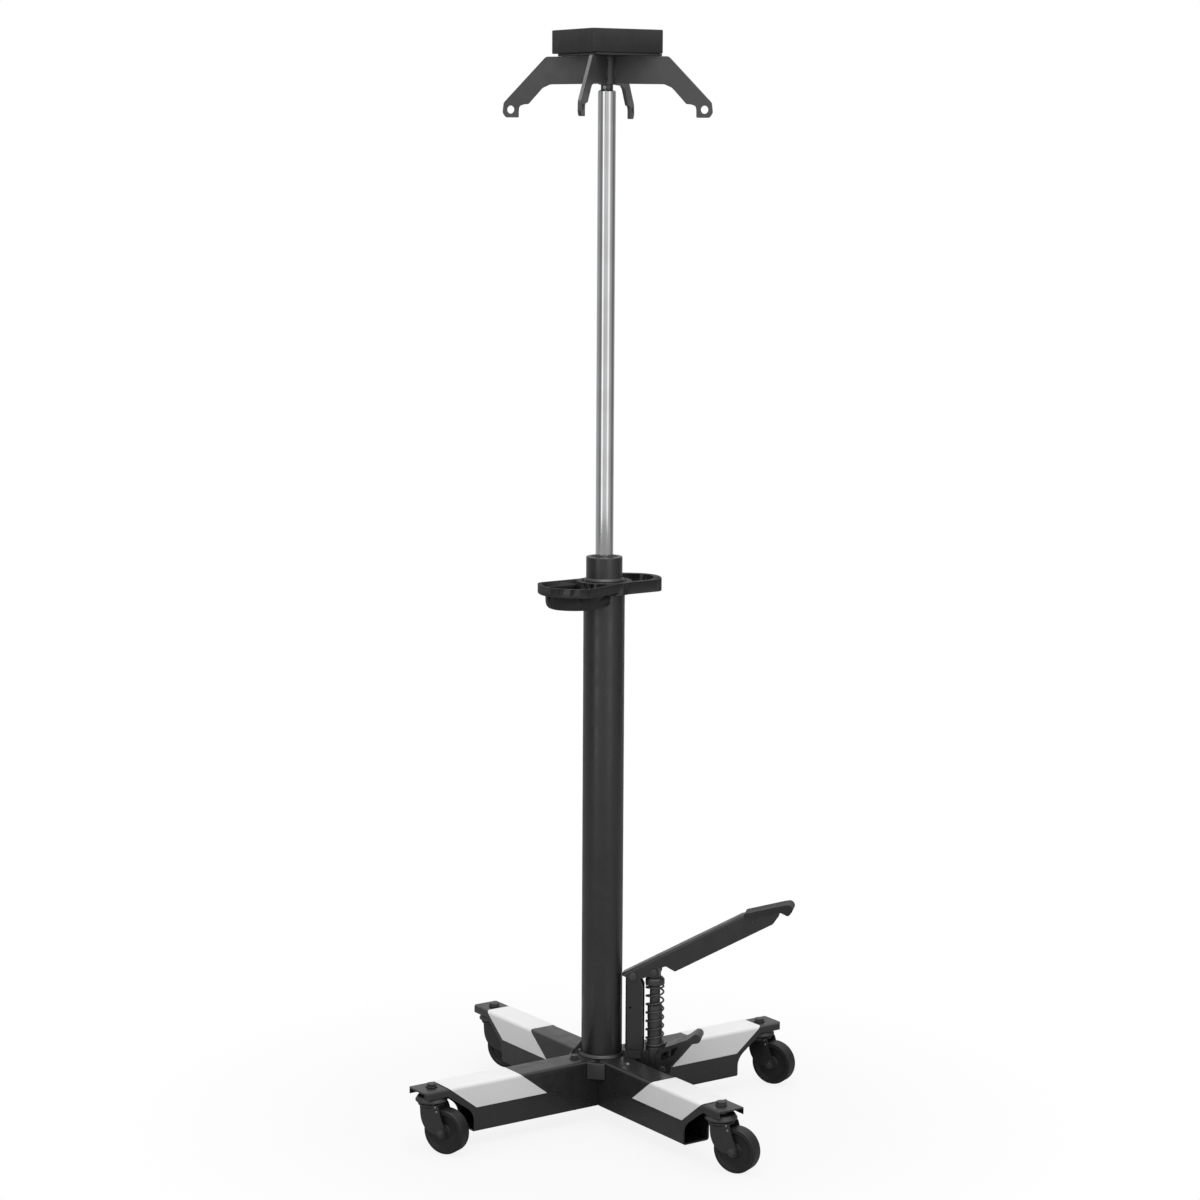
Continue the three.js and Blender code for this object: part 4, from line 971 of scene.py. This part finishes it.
def folded(x0, x1, half, sheet, depth, fold):
    """A channel open below, with folded top corners, along X: outside and inside prisms."""
    outer = outline([(-half, depth), (half, depth), (half, 0, fold), (-half, 0, fold)], 7)
    inner = half - sheet
    inside = outline([(-inner, depth - 1), (inner, depth - 1), (inner, -sheet, fold - sheet),
                      (-inner, -sheet, fold - sheet)], 5)
    return prism(outer, x0, x1, "X"), prism(inside, x0 - 1, x1 + 1, "X")


def bent(bm):
    """Drops everything beyond the bend onto the sloping nose."""
    slope = NOSE[1] / (NOSE[0] - PEDAL_BEND)
    for v in bm.verts:
        v.co.z += slope * max(0.0, v.co.x - PEDAL_BEND)
    return bm


def pump_pedal():
    pivot = in_pedal(PEDAL_PIVOT.x, PEDAL_PIVOT.z)
    pin = in_pedal(PUMP_X, ROD_PIN_Z)
    outer, inner = folded(0, NOSE[0], PEDAL_HALF, PEDAL_SHEET, -60, 4.5)
    for bm in (outer, inner):
        bmesh.ops.bisect_plane(bm, geom=bm.verts[:] + bm.edges[:] + bm.faces[:],
                               plane_co=(PEDAL_BEND, 0, 0), plane_no=(1, 0, 0))
        bent(bm)
    side = outline([(0, 1), (0, -PEDAL_SHEET)] + arc(*pivot, 9, 180, 306 - PEDAL_TILT, 16)
                   + arc(*pin, 10.5, 225 - PEDAL_TILT, 378, 20)
                   + [(80.3, -22.7, 3), (90.8, WALL_DEPTH, 4), (292.7, WALL_DEPTH, 6), (310, -29.6, 3),
                      (NOSE[0] + 1, NOSE[1] - PEDAL_SHEET - 1), (NOSE[0] + 1, 1)])
    return cut(common(outer, prism(side, -30, 30, "Y")), inner,
               cross_rod(4.8, *pivot, -30, 30), cross_rod(5.3, *pin, -30, 30))


def tilted(bm):
    bm.transform(PEDAL_FRAME)
    return bm


stand_in("pump_pedal", tilted(pump_pedal()), 0.5)


def pedal_pad():
    """Rubber cap over the nose, with side skirts, a hooked lip at its end and grip grooves across it."""
    fall = NOSE[1] / (NOSE[0] - PEDAL_BEND)
    start, thickness = 252.0, 3.6

    def web(x):
        return fall * (x - PEDAL_BEND)
    side = outline([
        (start, web(start) - 8.2, 2), (start, web(start) + thickness, 4.5), (326, web(326) + thickness, 14),
        (338.3, -20, 9), (338.3, -32, 8), (324.5, -38, 5), (317.5, -28.5, 4), (314.3, -24.8)], 8)
    end = NOSE[0] + 0.5
    core = [(PEDAL_BEND, 0.5), (end, NOSE[1] + 0.5), (end, WALL_DEPTH), (PEDAL_BEND, WALL_DEPTH)]
    core_half = PEDAL_HALF + GAP
    grooves = []
    for k in range(8):
        x = 262 + 7.2 * k
        grooves.append(cross_rod(0.9, x, web(x) + thickness + 0.3, -14.5, 14.5, 0.4))
    return cut(prism(side, -19, 19, "Y"), prism(core, -core_half, core_half, "Y"), *grooves)


stand_in("pedal_pad", tilted(pedal_pad()), 0.8)
for k, x in enumerate((262.0, 270.0)):
    points = [Vector((x, -PEDAL_HALF - 0.2, -15.0)), Vector((x + 0.5, -PEDAL_HALF - 0.2, -25.0))]
    extra(f"pad_weld_{k}", tilted(weld_bead(points, 1.5)), "pump_pedal", WELD)

# ---------- release pedal ----------
RELEASE = span("release_pedal")


def release_pedal():
    """Channel with a sloping web and a thick round nose; its cheeks hang on the pin, and one has a window."""
    x, z = RELEASE_PIVOT.x, RELEASE_PIVOT.z
    half, sheet = RELEASE[1].y, 2.5
    side = outline([(104, 121.5, 3), (117, 134.3, 8), (160, 151.5, 15)] + arc(177, 154.6, 8.6, 112, -75, 14)
                   + [(170, 144.5, 3), (134.5, 104, 6), (x + 10, z)] + arc(x, z, 10, 0, -180, 20)
                   + [(103, 109, 3)], 6)
    inside = [(98, 60), (98, 120), (117, 131), (172, 152.3), (176, 146), (172, 138), (176, 125), (176, 60)]
    window = outline([
        (104.5, 118.8, 1), (146, 139.4, 1), (134, 119.8, 2), (122.5, 112.6, 3), (110, 109.4, 1.5)])
    inner = half - sheet
    heel = prism(rectangle(90, 119, -inner, inner, 0.5), 80, 150)
    return cut(prism(side, -half, half, "Y"), prism(inside, -inner, inner, "Y"),
               prism(window, -half - 1, 0, "Y"), cross_rod(4.3, x, z, -30, 30), heel)


stand_in("release_pedal", release_pedal(), 0.7)
stand_in("release_plunger", moved(turned([
    (0, PLUNGER[0].z), (4, PLUNGER[0].z), (4, 127), (6, 127), (6, PLUNGER[1].z, 2),
    (0, PLUNGER[1].z)], 48, 0.3), PLUNGER_X))

# ---------- floor, light and camera ----------
CAMERA_AZIMUTH = 10.24
CAMERA_DISTANCE = 5.271
CAMERA_HEIGHT = 1.7289
CAMERA_PAN = -0.08
CAMERA_TILT = -8.41
CAMERA_ROLL = -0.31
CAMERA_LENS = 89.39
FLOOR_RADIUS = 4.0
CEILING = 1.0
LIGHT_AIM = 1.0
azimuth = math.radians(CAMERA_AZIMUTH)
toward_camera = Vector((math.sin(azimuth), -math.cos(azimuth), 0.0))
rightward = Vector((-toward_camera.y, toward_camera.x, 0.0))


def make_camera():
    pan, tilt, roll = (math.radians(a) for a in (CAMERA_PAN, CAMERA_TILT, CAMERA_ROLL))
    up = Vector((0.0, 0.0, 1.0))
    level = -toward_camera * math.cos(pan) + rightward * math.sin(pan)
    right = rightward * math.cos(pan) + toward_camera * math.sin(pan)
    ahead = level * math.cos(tilt) + up * math.sin(tilt)
    over = right.cross(ahead)
    x_axis = right * math.cos(roll) - over * math.sin(roll)
    y_axis = right * math.sin(roll) + over * math.cos(roll)
    data = bpy.data.cameras.new("camera")
    data.sensor_width = 36.0
    data.lens = CAMERA_LENS
    camera = bpy.data.objects.new("camera", data)
    bpy.context.scene.collection.objects.link(camera)
    rotation = Matrix((x_axis, y_axis, -ahead)).transposed().to_4x4()
    eye = toward_camera * CAMERA_DISTANCE + up * (CAMERA_HEIGHT + DATUM)
    camera.matrix_world = Matrix.Translation(eye) @ rotation
    bpy.context.scene.camera = camera


def soft_light(name, bearing, distance, height, size, power):
    """A rectangular softbox; bearing is degrees to the right of the camera, seen from the jack."""
    a = math.radians(bearing)
    data = bpy.data.lights.new(name, "AREA")
    data.shape = "RECTANGLE"
    data.size, data.size_y = size
    data.energy = power
    light = bpy.data.objects.new(name, data)
    bpy.context.scene.collection.objects.link(light)
    level = (toward_camera * math.cos(a) + rightward * math.sin(a)) * distance
    light.location = level + Vector((0, 0, height))
    light.rotation_mode = "QUATERNION"
    light.rotation_quaternion = (light.location - Vector((0.0, 0.0, LIGHT_AIM))).to_track_quat("Z", "Y")
    return light


def make_floor():
    """A broad pale floor that fades to the plain white of the surroundings."""
    bm = bmesh.new()
    bmesh.ops.create_circle(bm, cap_ends=True, segments=96, radius=FLOOR_RADIUS)
    mesh = bpy.data.meshes.new("floor")
    bm.to_mesh(mesh)
    bm.free()
    floor = bpy.data.objects.new("floor", mesh)
    floor.location.z = FLOOR
    bpy.context.scene.collection.objects.link(floor)
    material, tree, shader = nodes_of("pale_floor")
    shader.inputs["Roughness"].default_value = 0.9
    glow = add_node(tree, "Emission", {"Strength": 1.0})
    place_on_floor = add_node(tree, "TexCoord").outputs["Object"]
    distance = add_node(tree, "VectorMath", {0: place_on_floor}, operation="LENGTH").outputs["Value"]
    seen = add_node(tree, "LightPath").outputs["Is Camera Ray"]
    tree.links.new(blend_colors(tree, seen, grey(0.34), grey(0.68)), shader.inputs["Base Color"])
    fade = ramp(tree, distance, 0.86, 1.0, 0.3, 1.0)
    share = add_node(tree, "Math", {0: fade, 1: seen}, operation="MULTIPLY")
    mix = add_node(tree, "MixShader", {0: share.outputs[0], 1: shader.outputs[0], 2: glow.outputs[0]})
    tree.links.new(mix.outputs[0], tree.nodes["Material Output"].inputs["Surface"])
    mesh.materials.append(material)


# How bright the room is in each direction, as (degrees to the right of the camera, level). The two bright
# stretches are the tall panels on each side of the camera.
ROOM = [
    (-180, 0.60), (-140, 0.42), (-100, 0.34), (-68, 0.16), (-52, 0.34), (-43, 1.35), (-35, 1.25), (-26, 0.60),
    (0, 0.58), (22, 0.66), (30, 1.15), (42, 1.10), (52, 0.45), (68, 0.42), (100, 0.12), (140, 0.34),
    (180, 0.60)]


def make_world():
    """White to the camera; to all else a grey room with tall soft panels on both sides of the camera."""
    world = bpy.data.worlds.new("studio")
    world.use_nodes = True
    bpy.context.scene.world = world
    tree = world.node_tree
    direction = add_node(tree, "TexCoord").outputs["Generated"]
    ahead, side = (
        add_node(tree, "VectorMath", {0: direction, 1: axis}, operation="DOT_PRODUCT").outputs["Value"]
        for axis in (toward_camera, rightward))
    bearing = add_node(tree, "Math", {0: side, 1: ahead}, operation="ARCTAN2").outputs[0]
    turn = add_node(tree, "MapRange", {"Value": bearing, "From Min": -math.pi, "From Max": math.pi}).outputs[0]
    panels = add_node(tree, "ValToRGB", {"Fac": turn})
    stops = panels.color_ramp.elements
    stops.remove(stops[1])
    for i, (degrees, level) in enumerate(ROOM):
        position = (degrees + 180) / 360
        stop = stops[0] if i == 0 else stops.new(position)
        stop.position = position
        stop.color = (level / 2, level / 2, level / 2, 1.0)
    height = add_node(tree, "SeparateXYZ", {0: direction}).outputs["Z"]
    upward = ramp(tree, height, 0.0, 1.0, 0.35, 0.85)
    mixed = blend_colors(tree, upward, panels.outputs["Color"], grey(CEILING / 2))
    seen = add_node(tree, "LightPath").outputs["Is Camera Ray"]
    background = tree.nodes["Background"]
    tree.links.new(blend_colors(tree, seen, mixed, grey(0.5)), background.inputs["Color"])
    background.inputs["Strength"].default_value = 2.0


make_camera()
make_floor()
make_world()
soft_light("overhead", 20.0, 0.5, 3.6, (2.4, 2.4), 33.0)
bpy.context.scene.view_settings.view_transform = "Standard"
